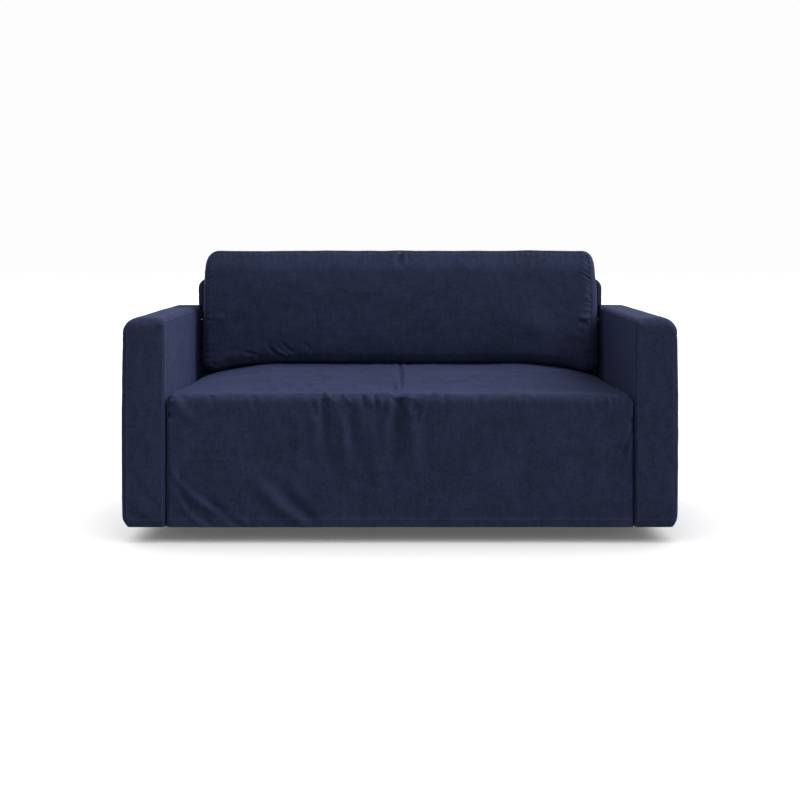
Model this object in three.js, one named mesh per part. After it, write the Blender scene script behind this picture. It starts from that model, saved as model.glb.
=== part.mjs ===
import * as THREE from "three";

// A fitted cloth cover for a two-seat sofa with square arms and one loose back cushion.
// Millimetres. +X is right as seen from the front, +Y is the rear, +Z is up, and the hem lies on z = 0.
// Every panel is one thin sheet. It is laid out on the flat faces of a block, and the block's edges are
// then rolled round, so two panels that meet on a block meet at the same seam.

const CLOTH = 2; // thickness of the cloth
const SEAM = 0.7; // gap that two panels leave at their seam
const TUCK_GAP = 0.6; // gap where a tucked edge meets the panel that it is sewn to

const COVER = { halfWidth: 805, front: -400, back: 400 };
const HEM = { height: 35, left: 14, right: 12, ends: 6 }; // how far it is drawn in, over this height
const ARM = { inner: 682.6, top: 607, innerSeam: 590, outerSeam: 555, frontSeamIn: 9, bulge: 3 };
const SEAT = { halfWidth: 679, front: -395, back: 304, edge: 366 };
const SEAT_HEIGHT = { frontEdge: 382, frontMiddle: 385, rearEdge: 366, rearMiddle: 417.4 };
const SEAT_CROWN = { flatHalf: 380, power: 2.2, riseFrom: -370, riseTo: 130 };
const TUCK = { side: 296, rear: 300 }; // lower edges of what is tucked beside and behind the seat
const FRAME = { halfWidth: 695, front: 320, back: 400, top: 700, armHalfWidth: 682 };
const CASE = { halfWidth: 668, front: 182, back: 315, bottom: 418, top: 789 };
const CASE_FILL = { crown: 24, bulge: 6, narrower: 0.028, turnUnder: 40, gap: 0.5, sideGap: 3 };
const BACK_RETURN = 9; // how far the outer back wraps round onto the sides
const INNER_STRIP = 90; // width of the inner arm's front strip, which alone reaches the hem

const FABRIC = new THREE.Color("#2b3050");
const FINISH = { roughness: 0.88, metalness: 0 };

// Rolled edges: `corner` is the radius of an upper corner in the front view, `front` and `back` are the
// radii of the edges round the front and rear faces, at the left, right and top.
const ARM_ROLLS = {
  corner: { left: 22, right: 44 },
  front: { left: 8, right: 12, top: 30 },
  back: { left: 12, right: 12, top: 45 },
};
const BODY_ROLLS = {
  corner: { left: 12, right: 12 },
  front: { left: 12, right: 12, top: 12 },
  back: { left: 12, right: 12, top: 12 },
};
const SEAT_ROLLS = {
  corner: { left: 22, right: 22 },
  front: { left: 16, right: 16, top: 26 },
  back: { left: 15, right: 15, top: 15 },
};
const FRAME_ROLLS = {
  corner: { left: 35, right: 35 },
  front: { left: 12, right: 12, top: 12 },
  back: { left: 12, right: 12, top: 12 },
};
const CASE_ROLLS = {
  corner: { left: 42, right: 38, lower: 40 },
  front: { left: 14, right: 40, top: 14 },
  back: { left: 20, right: 20, top: 20 },
};

// Folds of the seat and apron. `run` goes down the cloth from the front edge of the seat: below zero on
// the seat, above zero on the apron. A depth below zero is a ridge.
const SEAT_FOLDS = [
  { fromX: 0, fromRun: -520, toX: 0, toRun: 24, width: 13, depth: 9 },
  { fromX: -27, fromRun: -440, toX: -25, toRun: 10, width: 14, depth: -3.5 },
  { fromX: 27, fromRun: -440, toX: 26, toRun: 10, width: 14, depth: -3.5 },
  { fromX: 6, fromRun: 0, toX: -22, toRun: 290, width: 24, depth: 13 },
  { fromX: 52, fromRun: 15, toX: 44, toRun: 230, width: 24, depth: -6 },
  { fromX: -134, fromRun: 20, toX: -100, toRun: 190, width: 22, depth: 8 },
  { fromX: -170, fromRun: 30, toX: -150, toRun: 170, width: 20, depth: -4 },
  { fromX: -200, fromRun: 0, toX: -190, toRun: 220, width: 25, depth: 9 },
  { fromX: -334, fromRun: 190, toX: -212, toRun: 356, width: 26, depth: 6 },
  { fromX: -516, fromRun: 175, toX: -279, toRun: 356, width: 28, depth: 9 },
  { fromX: -660, fromRun: 185, toX: -438, toRun: 345, width: 26, depth: -5 },
  { fromX: -632, fromRun: 285, toX: -450, toRun: 366, width: 24, depth: 7 },
  { fromX: 650, fromRun: 90, toX: 575, toRun: 260, width: 30, depth: 6 },
  { fromX: 600, fromRun: 200, toX: 390, toRun: 366, width: 34, depth: 6 },
];

const mix = (from, to, share) => from + (to - from) * share;
const clamp01 = (value) => Math.min(1, Math.max(0, value));

function smooth(from, to, value) {
  const share = clamp01((value - from) / (to - from));
  return share * share * (3 - 2 * share);
}

function steps(from, to, count) {
  return Array.from({ length: count + 1 }, (_, i) => mix(from, to, i / count));
}

const rising = (...values) => [...new Set(values.flat())].sort((a, b) => a - b);

// A list and its mirror image on the other side of zero.
const symmetric = (...values) => rising(values.flat().map((value) => -value), values.flat());

// Where a rolled edge of this radius needs its lines of points, on the inward side of a sharp edge.
function near(edge, inward, radius) {
  return [0, 1 - Math.tan(Math.PI / 8), 1].map((share) => edge + inward * radius * share);
}

// Steps that lie closer together in the middle than at the two ends.
function middleSteps(half, count, middleShare) {
  return steps(-1, 1, count).map((t) => half * (middleShare * t + (1 - middleShare) * t ** 3));
}

// Two faces meet at a sharp edge. A point `p` from one and `q` from the other is pulled onto a round one.
function rollEdge(p, q, radius) {
  const a = 1 - p / radius;
  const b = 1 - q / radius;
  if (a <= 0 || b <= 0) return { p, q, a: p < q ? 1 : 0, b: p < q ? 0 : 1 };
  const reach = Math.hypot(a, b);
  const pull = Math.max(a, b) / reach;
  return { p: radius * (1 - a * pull), q: radius * (1 - b * pull), a: a / reach, b: b / reach };
}

// A block with rolled edges. Takes a point on the sharp block, gives the cloth's outer point and normal.
function block({ left, right, bottom = -Infinity, top, front, back }, rolls) {
  return (x, y, z) => {
    const sideX = right - x < x - left ? 1 : -1;
    const sideZ = top - z < z - bottom ? 1 : -1;
    const upperCorner = sideX > 0 ? rolls.corner.right : rolls.corner.left;
    const corner = sideZ > 0 ? upperCorner : rolls.corner.lower;
    const dx = sideX > 0 ? right - x : x - left;
    const dz = sideZ > 0 ? top - z : z - bottom;
    const upper = rollEdge(dx, dz, corner);
    let depth = Math.min(upper.p, upper.q);
    let outX = upper.a * sideX;
    let outZ = upper.b * sideZ;
    if (dx < corner && dz < corner) {
      depth = corner * (1 - Math.hypot(1 - upper.p / corner, 1 - upper.q / corner));
    }
    const rear = back - y < y - front;
    const radii = rear ? rolls.back : rolls.front;
    const radius = mix(sideX > 0 ? radii.right : radii.left, radii.top, outZ * outZ);
    const edge = rollEdge(depth, rear ? back - y : y - front, radius);
    const shift = depth - edge.p;
    const rolledX = sideX > 0 ? right - upper.p : left + upper.p;
    const rolledZ = sideZ > 0 ? top - upper.q : bottom + upper.q;
    const rolledY = rear ? back - edge.q : front + edge.q;
    return {
      point: new THREE.Vector3(rolledX + outX * shift, rolledY, rolledZ + outZ * shift),
      normal: new THREE.Vector3(outX * edge.a, rear ? edge.b : -edge.b, outZ * edge.a),
    };
  };
}

function mirrored(form) {
  return (x, y, z) => {
    const { point, normal } = form(-x, y, z);
    point.x = -point.x;
    normal.x = -normal.x;
    return { point, normal };
  };
}

// A patch is a grid on one face of the sharp block: `at` turns its two steps into the block's x, y, z.
function patch(form, us, vs, at, keep = () => true) {
  return { form, us, vs, at, keep };
}

// Sews patches into one sheet with an outer face, an inner face and an edge all round.
function sheet(name, patches, fold = () => 0, drape = (point) => point) {
  const known = new Map();
  const outer = [];
  const inner = [];
  const normals = [];
  const faces = [];
  const corner = (form, [x, y, z]) => {
    const key = [x, y, z].map((value) => value.toFixed(3)).join();
    if (!known.has(key)) {
      const { point, normal } = form(x, y, z);
      point.addScaledVector(normal, fold(x, y, z));
      known.set(key, outer.length);
      inner.push(drape(point.clone().addScaledVector(normal, -CLOTH)));
      outer.push(drape(point));
      normals.push(normal);
    }
    return known.get(key);
  };
  const facet = (a, b, c) => {
    const out = outer[b].clone().sub(outer[a]).cross(outer[c].clone().sub(outer[a]));
    const wanted = normals[a].clone().add(normals[b]).add(normals[c]);
    faces.push(out.dot(wanted) > 0 ? [a, b, c] : [a, c, b]);
  };
  for (const { form, us, vs, at, keep } of patches) {
    for (let i = 0; i + 1 < us.length; i += 1) {
      for (let j = 0; j + 1 < vs.length; j += 1) {
        if (!keep((us[i] + us[i + 1]) / 2, (vs[j] + vs[j + 1]) / 2)) continue;
        const a = corner(form, at(us[i], vs[j]));
        const b = corner(form, at(us[i + 1], vs[j]));
        const c = corner(form, at(us[i + 1], vs[j + 1]));
        const d = corner(form, at(us[i], vs[j + 1]));
        facet(a, b, c);
        facet(a, c, d);
      }
    }
  }
  return cloth(name, outer, inner, faces);
}

// Closes an outer and an inner skin into one solid of cloth.
function cloth(name, outer, inner, faces) {
  const below = outer.length;
  const index = [];
  const open = new Map();
  for (const [a, b, c] of faces) {
    index.push(a, b, c, below + a, below + c, below + b);
    for (const [from, to] of [[a, b], [b, c], [c, a]]) {
      if (!open.delete(`${to},${from}`)) open.set(`${from},${to}`, [from, to]);
    }
  }
  for (const [from, to] of open.values()) {
    index.push(to, from, below + from, to, below + from, below + to);
  }
  const geometry = new THREE.BufferGeometry();
  const points = [...outer, ...inner].flatMap((point) => point.toArray());
  geometry.setAttribute("position", new THREE.Float32BufferAttribute(points, 3));
  geometry.setIndex(index);
  geometry.computeVertexNormals();
  const mesh = new THREE.Mesh(geometry, new THREE.MeshStandardMaterial({ color: FABRIC, ...FINISH }));
  mesh.name = name;
  return mesh;
}

// The hem is drawn in under the cover's outside, more at the left than at the right.
function drawHemIn(point) {
  const low = clamp01(1 - point.z / HEM.height) ** 2;
  const outside = clamp01((Math.abs(point.x) - ARM.inner) / ARM_WIDTH);
  const reach = point.x < 0 ? HEM.left : HEM.right;
  point.x -= Math.sign(point.x) * reach * low * outside;
  point.y -= Math.sign(point.y) * HEM.ends * low;
  return point;
}

// Padding pushes the cloth of an arm and of the outer back out a little.
function swell(x, y, z) {
  const outside = smooth(0, ARM_WIDTH / 2, Math.abs(x) - ARM.inner);
  return ARM.bulge * Math.sin(Math.PI * clamp01(z / ARM.outerSeam)) * outside;
}

const SIDE_NAME = { "-1": "left", 1: "right" };
const ARM_WIDTH = COVER.halfWidth - ARM.inner;
const ARM_FRONT_SEAM = ARM_WIDTH - ARM.frontSeamIn;
const ARM_REAR = FRAME.front + CLOTH; // from here to the rear the arm runs under the back
const ARM_LOWER_ROWS = rising(steps(0, HEM.height, 3), steps(120, 460, 4), ARM.outerSeam);
const ARM_TOP_ROWS = near(ARM.top, -1, ARM_ROLLS.corner.left);
const ARM_UPPER_ROWS = rising(
  ARM.outerSeam,
  near(ARM.top, -1, ARM_ROLLS.corner.right),
  ARM_TOP_ROWS,
  ARM.innerSeam,
);
const ARM_COLUMNS = rising(
  near(0, 1, ARM_ROLLS.corner.left),
  ARM_WIDTH / 3,
  near(ARM_WIDTH, -1, ARM_ROLLS.corner.right),
  near(ARM_WIDTH, -1, ARM_ROLLS.front.right),
  ARM_FRONT_SEAM,
);
const ARM_FRONT_RUN = rising(
  near(COVER.front, 1, ARM_ROLLS.front.right),
  COVER.front + ARM_ROLLS.front.top,
);
const ARM_RUN = rising(ARM_FRONT_RUN, steps(-250, 130, 2), ARM_REAR);
const ARM_REAR_RUN = rising(
  ARM_REAR,
  near(COVER.back, -1, ARM_ROLLS.back.top),
  near(COVER.back, -1, ARM_ROLLS.back.right),
);

const armSize = { right: COVER.halfWidth, top: ARM.top, front: COVER.front, back: COVER.back };
const armBlock = block({ left: ARM.inner, ...armSize }, ARM_ROLLS);
const armRearBlock = block({ left: 0, ...armSize }, ARM_ROLLS); // under the back, with no inner edge

// The strip that runs up the front of an arm, over its top and down the rear to the outer back.
function armBand(side) {
  const form = side > 0 ? armBlock : mirrored(armBlock);
  const rearForm = side > 0 ? armRearBlock : mirrored(armRearBlock);
  const at = (across, y, z) => [side * (ARM.inner + across), y, z];
  const onFront = (across, z) => at(across, COVER.front, z);
  const onTop = (across, y) => at(across, y, ARM.top);
  const onOutside = (y, z) => at(ARM_WIDTH, y, z);
  const lowerColumns = ARM_COLUMNS.filter((value) => value <= ARM_FRONT_SEAM);
  const insideRows = ARM_UPPER_ROWS.filter((value) => value >= ARM.innerSeam);
  return sheet(`arm_${SIDE_NAME[side]}_band`, [
    patch(form, lowerColumns, ARM_LOWER_ROWS, onFront),
    patch(form, ARM_COLUMNS, ARM_UPPER_ROWS, onFront),
    patch(form, ARM_COLUMNS, ARM_RUN, onTop),
    patch(form, ARM_RUN, insideRows, (y, z) => at(0, y, z)),
    patch(form, ARM_RUN, ARM_UPPER_ROWS, onOutside),
    patch(rearForm, ARM_COLUMNS, ARM_REAR_RUN, onTop),
    patch(rearForm, ARM_REAR_RUN, ARM_UPPER_ROWS, onOutside),
    patch(rearForm, ARM_COLUMNS, ARM_UPPER_ROWS, (across, z) => at(across, COVER.back, z)),
  ], swell, drawHemIn);
}

// The flat outer side of an arm, with a narrow return round the front edge.
function armOuter(side) {
  const form = side > 0 ? armBlock : mirrored(armBlock);
  const at = (across, y, z) => [side * (ARM.inner + across), y, z];
  const rows = [...ARM_LOWER_ROWS.slice(0, -1), ARM.outerSeam - SEAM];
  const returnColumns = [ARM_FRONT_SEAM + SEAM, ...ARM_COLUMNS.filter((value) => value > ARM_FRONT_SEAM)];
  const rearEdge = COVER.back - BACK_RETURN - SEAM;
  const run = rising(ARM_RUN, ARM_REAR_RUN.filter((value) => value < rearEdge), rearEdge);
  return sheet(`arm_${SIDE_NAME[side]}_outer`, [
    patch(form, returnColumns, rows, (across, z) => at(across, COVER.front, z)),
    patch(form, run, rows, (y, z) => at(ARM_WIDTH, y, z)),
  ], swell, drawHemIn);
}

// The inner side of an arm. Its front strip reaches the hem, and behind that it is tucked beside the seat.
function armInner(side) {
  const form = side > 0 ? armBlock : mirrored(armBlock);
  const stripEdge = COVER.front + INNER_STRIP;
  const run = rising(COVER.front + 2 * SEAM, ARM_RUN.slice(1), stripEdge);
  const seam = ARM.innerSeam - SEAM;
  const upper = ARM_TOP_ROWS.filter((value) => value < seam);
  const rows = rising(steps(0, TUCK.side, 3), (TUCK.side + seam) / 2, upper, seam);
  const keep = (y, z) => z > TUCK.side || y < stripEdge;
  const at = (y, z) => [side * ARM.inner, y, z];
  return sheet(`arm_${SIDE_NAME[side]}_inner`, [patch(form, run, rows, at, keep)], swell, drawHemIn);
}

const bodyBlock = block(
  {
    left: -COVER.halfWidth,
    right: COVER.halfWidth,
    top: FRAME.top,
    front: COVER.front,
    back: COVER.back,
  },
  BODY_ROLLS,
);
const frameBlock = block(
  {
    left: -FRAME.halfWidth,
    right: FRAME.halfWidth,
    top: FRAME.top,
    front: FRAME.front,
    back: FRAME.back,
  },
  FRAME_ROLLS,
);

const STEM_TOP = ARM.top + CLOTH; // up to here the back is only as wide as the space between the arms
const STEM_COLUMNS = rising(
  [110, 330, 550],
  near(FRAME.halfWidth, -1, FRAME_ROLLS.corner.right).slice(1),
  FRAME.armHalfWidth,
);
const FRAME_ROWS = near(FRAME.top, -1, FRAME_ROLLS.corner.right).slice(1);
const FRAME_RUN = rising(
  near(FRAME.front, 1, FRAME_ROLLS.front.top),
  near(FRAME.back, -1, FRAME_ROLLS.back.top),
);

// The one panel that closes the rear: as wide as the cover below, as wide as the back above the arms.
function backOuter() {
  const returnEdge = COVER.back - BACK_RETURN;
  const armColumns = near(COVER.halfWidth, -1, BODY_ROLLS.back.right);
  const lowerRows = [...ARM_LOWER_ROWS.slice(0, -1), ARM.outerSeam - SEAM];
  const topRows = rising(STEM_TOP, FRAME_ROWS, FRAME.top - SEAM);
  const onBack = (x, z) => [x, COVER.back, z];
  const onSide = (side) => (y, z) => [side * COVER.halfWidth, y, z];
  return sheet("back_outer", [
    patch(bodyBlock, symmetric(STEM_COLUMNS, armColumns), lowerRows, onBack),
    ...[-1, 1].map((side) => patch(bodyBlock, steps(returnEdge, COVER.back, 2), lowerRows, onSide(side))),
    patch(frameBlock, symmetric(STEM_COLUMNS), [ARM.outerSeam - SEAM, STEM_TOP], onBack),
    patch(frameBlock, symmetric(STEM_COLUMNS, FRAME.halfWidth - SEAM), topRows, onBack),
  ], swell, drawHemIn);
}

// The boxing round the back above the arms. Its two ends follow the arms' rolled rear.
function backBand() {
  const roll = ARM_ROLLS.back.top;
  const run = rising(FRAME_RUN, steps(COVER.back - roll, COVER.back, 4).slice(1, 3));
  const armTop = (y) => {
    const past = Math.max(0, y - FRAME_ROLLS.back.left / 2 - CLOTH - (COVER.back - roll));
    return ARM.top - roll + Math.sqrt(roll * roll - past * past) + SEAM;
  };
  const lowest = Math.min(...FRAME_ROWS);
  const topColumns = symmetric(STEM_COLUMNS, FRAME.halfWidth);
  const sides = [-1, 1].flatMap((side) => [
    patch(frameBlock, run, steps(0, 1, 4), (y, share) => [
      side * FRAME.halfWidth,
      y,
      mix(armTop(y), lowest, share),
    ]),
    patch(frameBlock, run, rising(FRAME_ROWS, FRAME.top), (y, z) => [side * FRAME.halfWidth, y, z]),
  ]);
  return sheet("back_band", [...sides, patch(frameBlock, topColumns, run, (x, y) => [x, y, FRAME.top])]);
}

// The inner back, tucked down behind the seat and narrower between the arms.
function backInner() {
  const columns = symmetric(STEM_COLUMNS, FRAME.halfWidth - SEAM);
  const rows = rising(steps(TUCK.rear, STEM_TOP, 3), FRAME_ROWS, FRAME.top - SEAM);
  const keep = (x, z) => z > STEM_TOP || Math.abs(x) < FRAME.armHalfWidth;
  return sheet("back_inner", [patch(frameBlock, columns, rows, (x, z) => [x, FRAME.front, z], keep)]);
}

// Height of the seat's cloth above the hem: flat and high in the middle, low beside the arms.
function seatHeight(x, y) {
  const rear = smooth(SEAT_CROWN.riseFrom, SEAT_CROWN.riseTo, y);
  const middle = mix(SEAT_HEIGHT.frontMiddle, SEAT_HEIGHT.rearMiddle, rear);
  const side = mix(SEAT_HEIGHT.frontEdge, SEAT_HEIGHT.rearEdge, rear);
  const out = clamp01((Math.abs(x) - SEAT_CROWN.flatHalf) / (SEAT.halfWidth - SEAT_CROWN.flatHalf));
  return mix(middle, side, out ** SEAT_CROWN.power);
}

function crownSeat(point) {
  point.z *= seatHeight(point.x, point.y) / SEAT.edge;
  return point;
}

// Depth of one fold at a place on the cloth: deepest along its line, fading out at both ends.
function foldDepth(fold, x, run) {
  const lineX = fold.toX - fold.fromX;
  const lineRun = fold.toRun - fold.fromRun;
  const length = Math.hypot(lineX, lineRun);
  const along = ((x - fold.fromX) * lineX + (run - fold.fromRun) * lineRun) / (length * length);
  const off = ((x - fold.fromX) * lineRun - (run - fold.fromRun) * lineX) / length;
  const ends = smooth(-0.08, 0.2, along) * smooth(1.08, 0.8, along);
  return fold.depth * ends * Math.exp(-((off / fold.width) ** 2));
}

// Folds of the seat cover, and its rear edge leaning back to the inner back.
function seatFold(x, y, z) {
  const run = y > SEAT.front ? SEAT.front - y : SEAT.edge - z;
  const folds = SEAT_FOLDS.reduce((sum, fold) => sum + foldDepth(fold, x, run), 0);
  const flap = y === SEAT.back ? (SEAT.edge - z) / (SEAT.edge - TUCK.rear) : 0;
  const inside = smooth(SEAT.halfWidth, SEAT.halfWidth - 50, Math.abs(x));
  return (FRAME.front - TUCK_GAP - SEAT.back) * flap ** 2 * inside - folds;
}

const seatBlock = block(
  { left: -SEAT.halfWidth, right: SEAT.halfWidth, top: SEAT.edge, front: SEAT.front, back: SEAT.back },
  SEAT_ROLLS,
);
const SEAT_COLUMNS = { count: 46, middleShare: 0.75 };
const SEAT_RUN = rising(
  steps(SEAT.front, SEAT.front + SEAT_ROLLS.front.top, 3),
  steps(SEAT.front + 70, SEAT.back - 30, 8),
  near(SEAT.back, -1, SEAT_ROLLS.back.top),
);
const SEAT_SIDE_ROWS = rising(TUCK.side, steps(SEAT.edge - SEAT_ROLLS.front.top, SEAT.edge, 3));

// The seat's top and the apron below it, in one cloth.
function seatCover() {
  const edges = near(SEAT.halfWidth, -1, SEAT_ROLLS.corner.right);
  const inside = middleSteps(Math.min(...edges), SEAT_COLUMNS.count, SEAT_COLUMNS.middleShare);
  const columns = rising(symmetric(edges), inside);
  const apronRows = rising(steps(0, TUCK.side, 8), SEAT_SIDE_ROWS);
  const flapRows = rising(TUCK.rear, (TUCK.rear + SEAT.edge) / 2, near(SEAT.edge, -1, SEAT_ROLLS.back.top));
  return sheet("seat_cover", [
    patch(seatBlock, columns, SEAT_RUN, (x, y) => [x, y, SEAT.edge]),
    patch(seatBlock, columns, apronRows, (x, z) => [x, SEAT.front, z]),
    patch(seatBlock, columns, flapRows, (x, z) => [x, SEAT.back, z]),
  ], seatFold, crownSeat);
}

// The strip that is tucked beside the seat. Its lower edge meets the lower edge of the inner arm.
function seatGusset(side) {
  const rows = [...SEAT_SIDE_ROWS.slice(0, -1), SEAT.edge - 2 * SEAM];
  const run = [SEAT.front + 2 * SEAM, ...SEAT_RUN.slice(1, -1), SEAT.back - 2 * SEAM];
  const lean = (x, y, z) => {
    const low = (SEAT.edge - z) / (SEAT.edge - TUCK.side);
    return (ARM.inner - TUCK_GAP - SEAT.halfWidth) * low ** 2;
  };
  const at = (y, z) => [side * SEAT.halfWidth, y, z];
  return sheet(`seat_gusset_${SIDE_NAME[side]}`, [patch(seatBlock, run, rows, at)], lean, crownSeat);
}

const caseBlock = block(
  {
    left: -CASE.halfWidth,
    right: CASE.halfWidth,
    bottom: CASE.bottom,
    top: CASE.top,
    front: CASE.front,
    back: CASE.back,
  },
  CASE_ROLLS,
);
const CASE_COLUMNS = symmetric(
  [100, 240, 370, 440, 510, 565],
  near(CASE.halfWidth, -1, CASE_ROLLS.front.right).slice(1),
);
const CASE_ROWS = rising(
  near(CASE.bottom, 1, CASE_ROLLS.corner.lower).slice(1),
  steps(CASE.bottom + 90, CASE.top - 90, 3),
  near(CASE.top, -1, CASE_ROLLS.corner.right).slice(1),
  near(CASE.top, -1, CASE_ROLLS.front.top).slice(1),
);
const CASE_RUN = rising(
  near(CASE.front, 1, CASE_ROLLS.front.right),
  CASE.front + CASE_ROLLS.front.top,
  (CASE.front + CASE.back) / 2,
  near(CASE.back, -1, CASE_ROLLS.back.top),
);

// The cushion case is narrower in front, and its lower part follows the height of the seat it rests on.
function restOnSeat(point) {
  point.x *= 1 - (CASE_FILL.narrower * (CASE.back - point.y)) / (CASE.back - CASE.front);
  const gap = CASE_FILL.gap + CASE_FILL.sideGap * (point.x / CASE.halfWidth) ** 2;
  const low = seatHeight(point.x, CASE.back) + gap;
  point.z = mix(low, CASE.top, (point.z - CASE.bottom) / (CASE.top - CASE.bottom));
  return point;
}

// The filled case stands out in front and, less, along the middle of its boxing.
function caseFold(x, y, z) {
  const across = clamp01(1 - Math.abs(x / CASE.halfWidth) ** 4);
  const up = (2 * z - CASE.top - CASE.bottom) / (CASE.top - CASE.bottom);
  if (y === CASE.front) return CASE_FILL.crown * across * clamp01(1 - Math.abs(up) ** 2.6);
  if (y === CASE.back || z === CASE.bottom) return 0;
  return CASE_FILL.bulge * Math.sin(Math.PI * clamp01((y - CASE.front) / (CASE.back - CASE.front)));
}

// A front or rear panel of the case, turned under along the opening at the bottom.
function casePanel(name, y, inward) {
  const edge = CASE.halfWidth - SEAM;
  const columns = rising(symmetric(edge), CASE_COLUMNS);
  const rows = [CASE.bottom, ...CASE_ROWS, CASE.top - SEAM];
  const under = steps(y, y + inward * CASE_FILL.turnUnder, 3);
  return sheet(name, [
    patch(caseBlock, columns, rows, (x, z) => [x, y, z]),
    patch(caseBlock, columns, under, (x, depth) => [x, depth, CASE.bottom]),
  ], caseFold, restOnSeat);
}

// The boxing: up one side of the case, over the top and down the other side. It is open at the bottom.
function caseBoxing() {
  const columns = rising(symmetric(CASE.halfWidth), CASE_COLUMNS);
  const rows = [CASE.bottom + SEAM, ...CASE_ROWS, CASE.top];
  const run = [CASE.front + SEAM, ...CASE_RUN.slice(1, -1), CASE.back - SEAM];
  return sheet("cushion_boxing", [
    ...[-1, 1].map((side) => patch(caseBlock, run, rows, (y, z) => [side * CASE.halfWidth, y, z])),
    patch(caseBlock, columns, run, (x, y) => [x, y, CASE.top]),
  ], caseFold, restOnSeat);
}

const body = new THREE.Group();
for (const side of [-1, 1]) body.add(armBand(side), armOuter(side), armInner(side), seatGusset(side));
body.add(backOuter(), backBand(), backInner(), seatCover());
body.add(casePanel("cushion_front", CASE.front, 1), casePanel("cushion_back", CASE.back, -1), caseBoxing());

export default body;
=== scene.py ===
import math
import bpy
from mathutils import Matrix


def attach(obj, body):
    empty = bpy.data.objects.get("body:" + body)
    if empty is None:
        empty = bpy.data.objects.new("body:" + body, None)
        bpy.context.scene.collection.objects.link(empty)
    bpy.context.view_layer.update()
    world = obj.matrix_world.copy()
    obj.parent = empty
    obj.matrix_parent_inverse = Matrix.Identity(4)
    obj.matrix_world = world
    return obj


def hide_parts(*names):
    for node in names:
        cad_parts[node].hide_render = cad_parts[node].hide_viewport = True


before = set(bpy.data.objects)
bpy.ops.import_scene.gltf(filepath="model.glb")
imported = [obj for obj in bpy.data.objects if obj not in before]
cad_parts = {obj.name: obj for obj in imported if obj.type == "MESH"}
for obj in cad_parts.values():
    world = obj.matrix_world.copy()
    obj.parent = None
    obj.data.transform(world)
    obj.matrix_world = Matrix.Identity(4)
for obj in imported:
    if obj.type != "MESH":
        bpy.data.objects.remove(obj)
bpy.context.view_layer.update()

from types import SimpleNamespace as Sizes

import bpy
import numpy as np
from mathutils import kdtree, noise

# ------------------------------------------------------------
# Studio. A plain pale floor below the hem, where the feet of the covered sofa would stand, a white
# surround, a large soft key light from the upper right and a level camera straight in front.
FLOOR_BELOW_HEM = 0.048

camera_data = bpy.data.cameras.new("studio_camera")
camera_data.lens = 59.1
camera_data.sensor_width = 36
camera_data.shift_y = -0.2
camera = bpy.data.objects.new("studio_camera", camera_data)
camera.location = (0, -4.2, 0.832)
camera.rotation_euler = (math.radians(90), 0, 0)
bpy.context.scene.collection.objects.link(camera)
bpy.context.scene.camera = camera
bpy.context.scene.view_settings.view_transform = "Standard"


def linear(hex_colour):
    """An sRGB colour such as #22263a as linear red, green, blue and alpha."""
    channels = [int(hex_colour[i : i + 2], 16) / 255 for i in (1, 3, 5)]
    return [c / 12.92 if c <= 0.04045 else ((c + 0.055) / 1.055) ** 2.4 for c in channels] + [1.0]


def add_node(tree, kind, inputs=None, **settings):
    """Adds a node. An input is a plain value, or the socket that feeds it."""
    node = tree.nodes.new(kind)
    for name, value in settings.items():
        setattr(node, name, value)
    for name, value in (inputs or {}).items():
        if isinstance(value, bpy.types.NodeSocket):
            tree.links.new(value, node.inputs[name])
        else:
            node.inputs[name].default_value = value
    return node


def bare_material(name):
    """A material without nodes yet, and its node tree."""
    material = bpy.data.materials.new(name)
    material.use_nodes = True
    material.node_tree.nodes.clear()
    return material, material.node_tree


# Matt backdrop paper: pale, without gloss and a little uneven, with a faint glow painted into it (an emission
# of its own tone, though it is no lamp), which lightens the shadow under the hem so that it stays soft.
paper, paper_tree = bare_material("backdrop_paper")
PAPER_PATCH = 0.4
paper_place = add_node(paper_tree, "ShaderNodeTexCoord")
paper_fibre = add_node(
    paper_tree, "ShaderNodeTexNoise", {"Vector": paper_place.outputs["Object"], "Scale": 1 / PAPER_PATCH}
)
# The paper's own tone, and the duller one that it throws back on to the cloth.
paper_tone, paper_bounce = (
    add_node(
        paper_tree,
        "ShaderNodeMix",
        {0: paper_fibre.outputs["Fac"], 6: linear(dark), 7: linear(pale)},
        data_type="RGBA",
    ).outputs[2]
    for dark, pale in (("#f8f8f8", "#fbfbfb"), ("#868686", "#8a8a8a"))
)
paper_seen = add_node(paper_tree, "ShaderNodeLightPath")
paper_shown = add_node(
    paper_tree,
    "ShaderNodeMix",
    {0: paper_seen.outputs["Is Camera Ray"], 6: paper_bounce, 7: paper_tone},
    data_type="RGBA",
)
paper_face = add_node(
    paper_tree,
    "ShaderNodeBsdfPrincipled",
    {
        "Base Color": paper_shown.outputs[2],
        "Roughness": 0.95,
        "Specular IOR Level": 0.1,
        # Painted glow: the paper emits a faint light of its own, which lifts the shadow under the hem.
        "Emission Color": paper_tone,
        "Emission Strength": 0.095,
    },
)
add_node(paper_tree, "ShaderNodeOutputMaterial", {"Surface": paper_face.outputs[0]})

bpy.ops.object.select_all(action="DESELECT")
bpy.ops.mesh.primitive_plane_add(size=60, location=(0, 0, -FLOOR_BELOW_HEM))
floor = bpy.context.object
floor.name = "floor"
floor.data.materials.append(paper)


def soft_light(name, energy, angle, tilt, lit):
    """A large far light that falls only on what is in the lit collection, as with a flag in a studio."""
    data = bpy.data.lights.new(name, "SUN")
    data.energy = energy
    data.angle = math.radians(angle)
    light = bpy.data.objects.new(name, data)
    light.rotation_euler = [math.radians(turn) for turn in tilt]
    light.light_linking.receiver_collection = lit
    bpy.context.scene.collection.objects.link(light)


cover_pieces = bpy.data.collections.new("cover_pieces")
backdrop = bpy.data.collections.new("backdrop")
backdrop.objects.link(floor)
soft_light("soft_key", 3.9, 50, (3, 47, 0), cover_pieces)
soft_light("soft_front", 0.28, 50, (78, 0, 4), cover_pieces)
soft_light("floor_wash", 1.85, 120, (0, 0, 0), backdrop)

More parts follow.
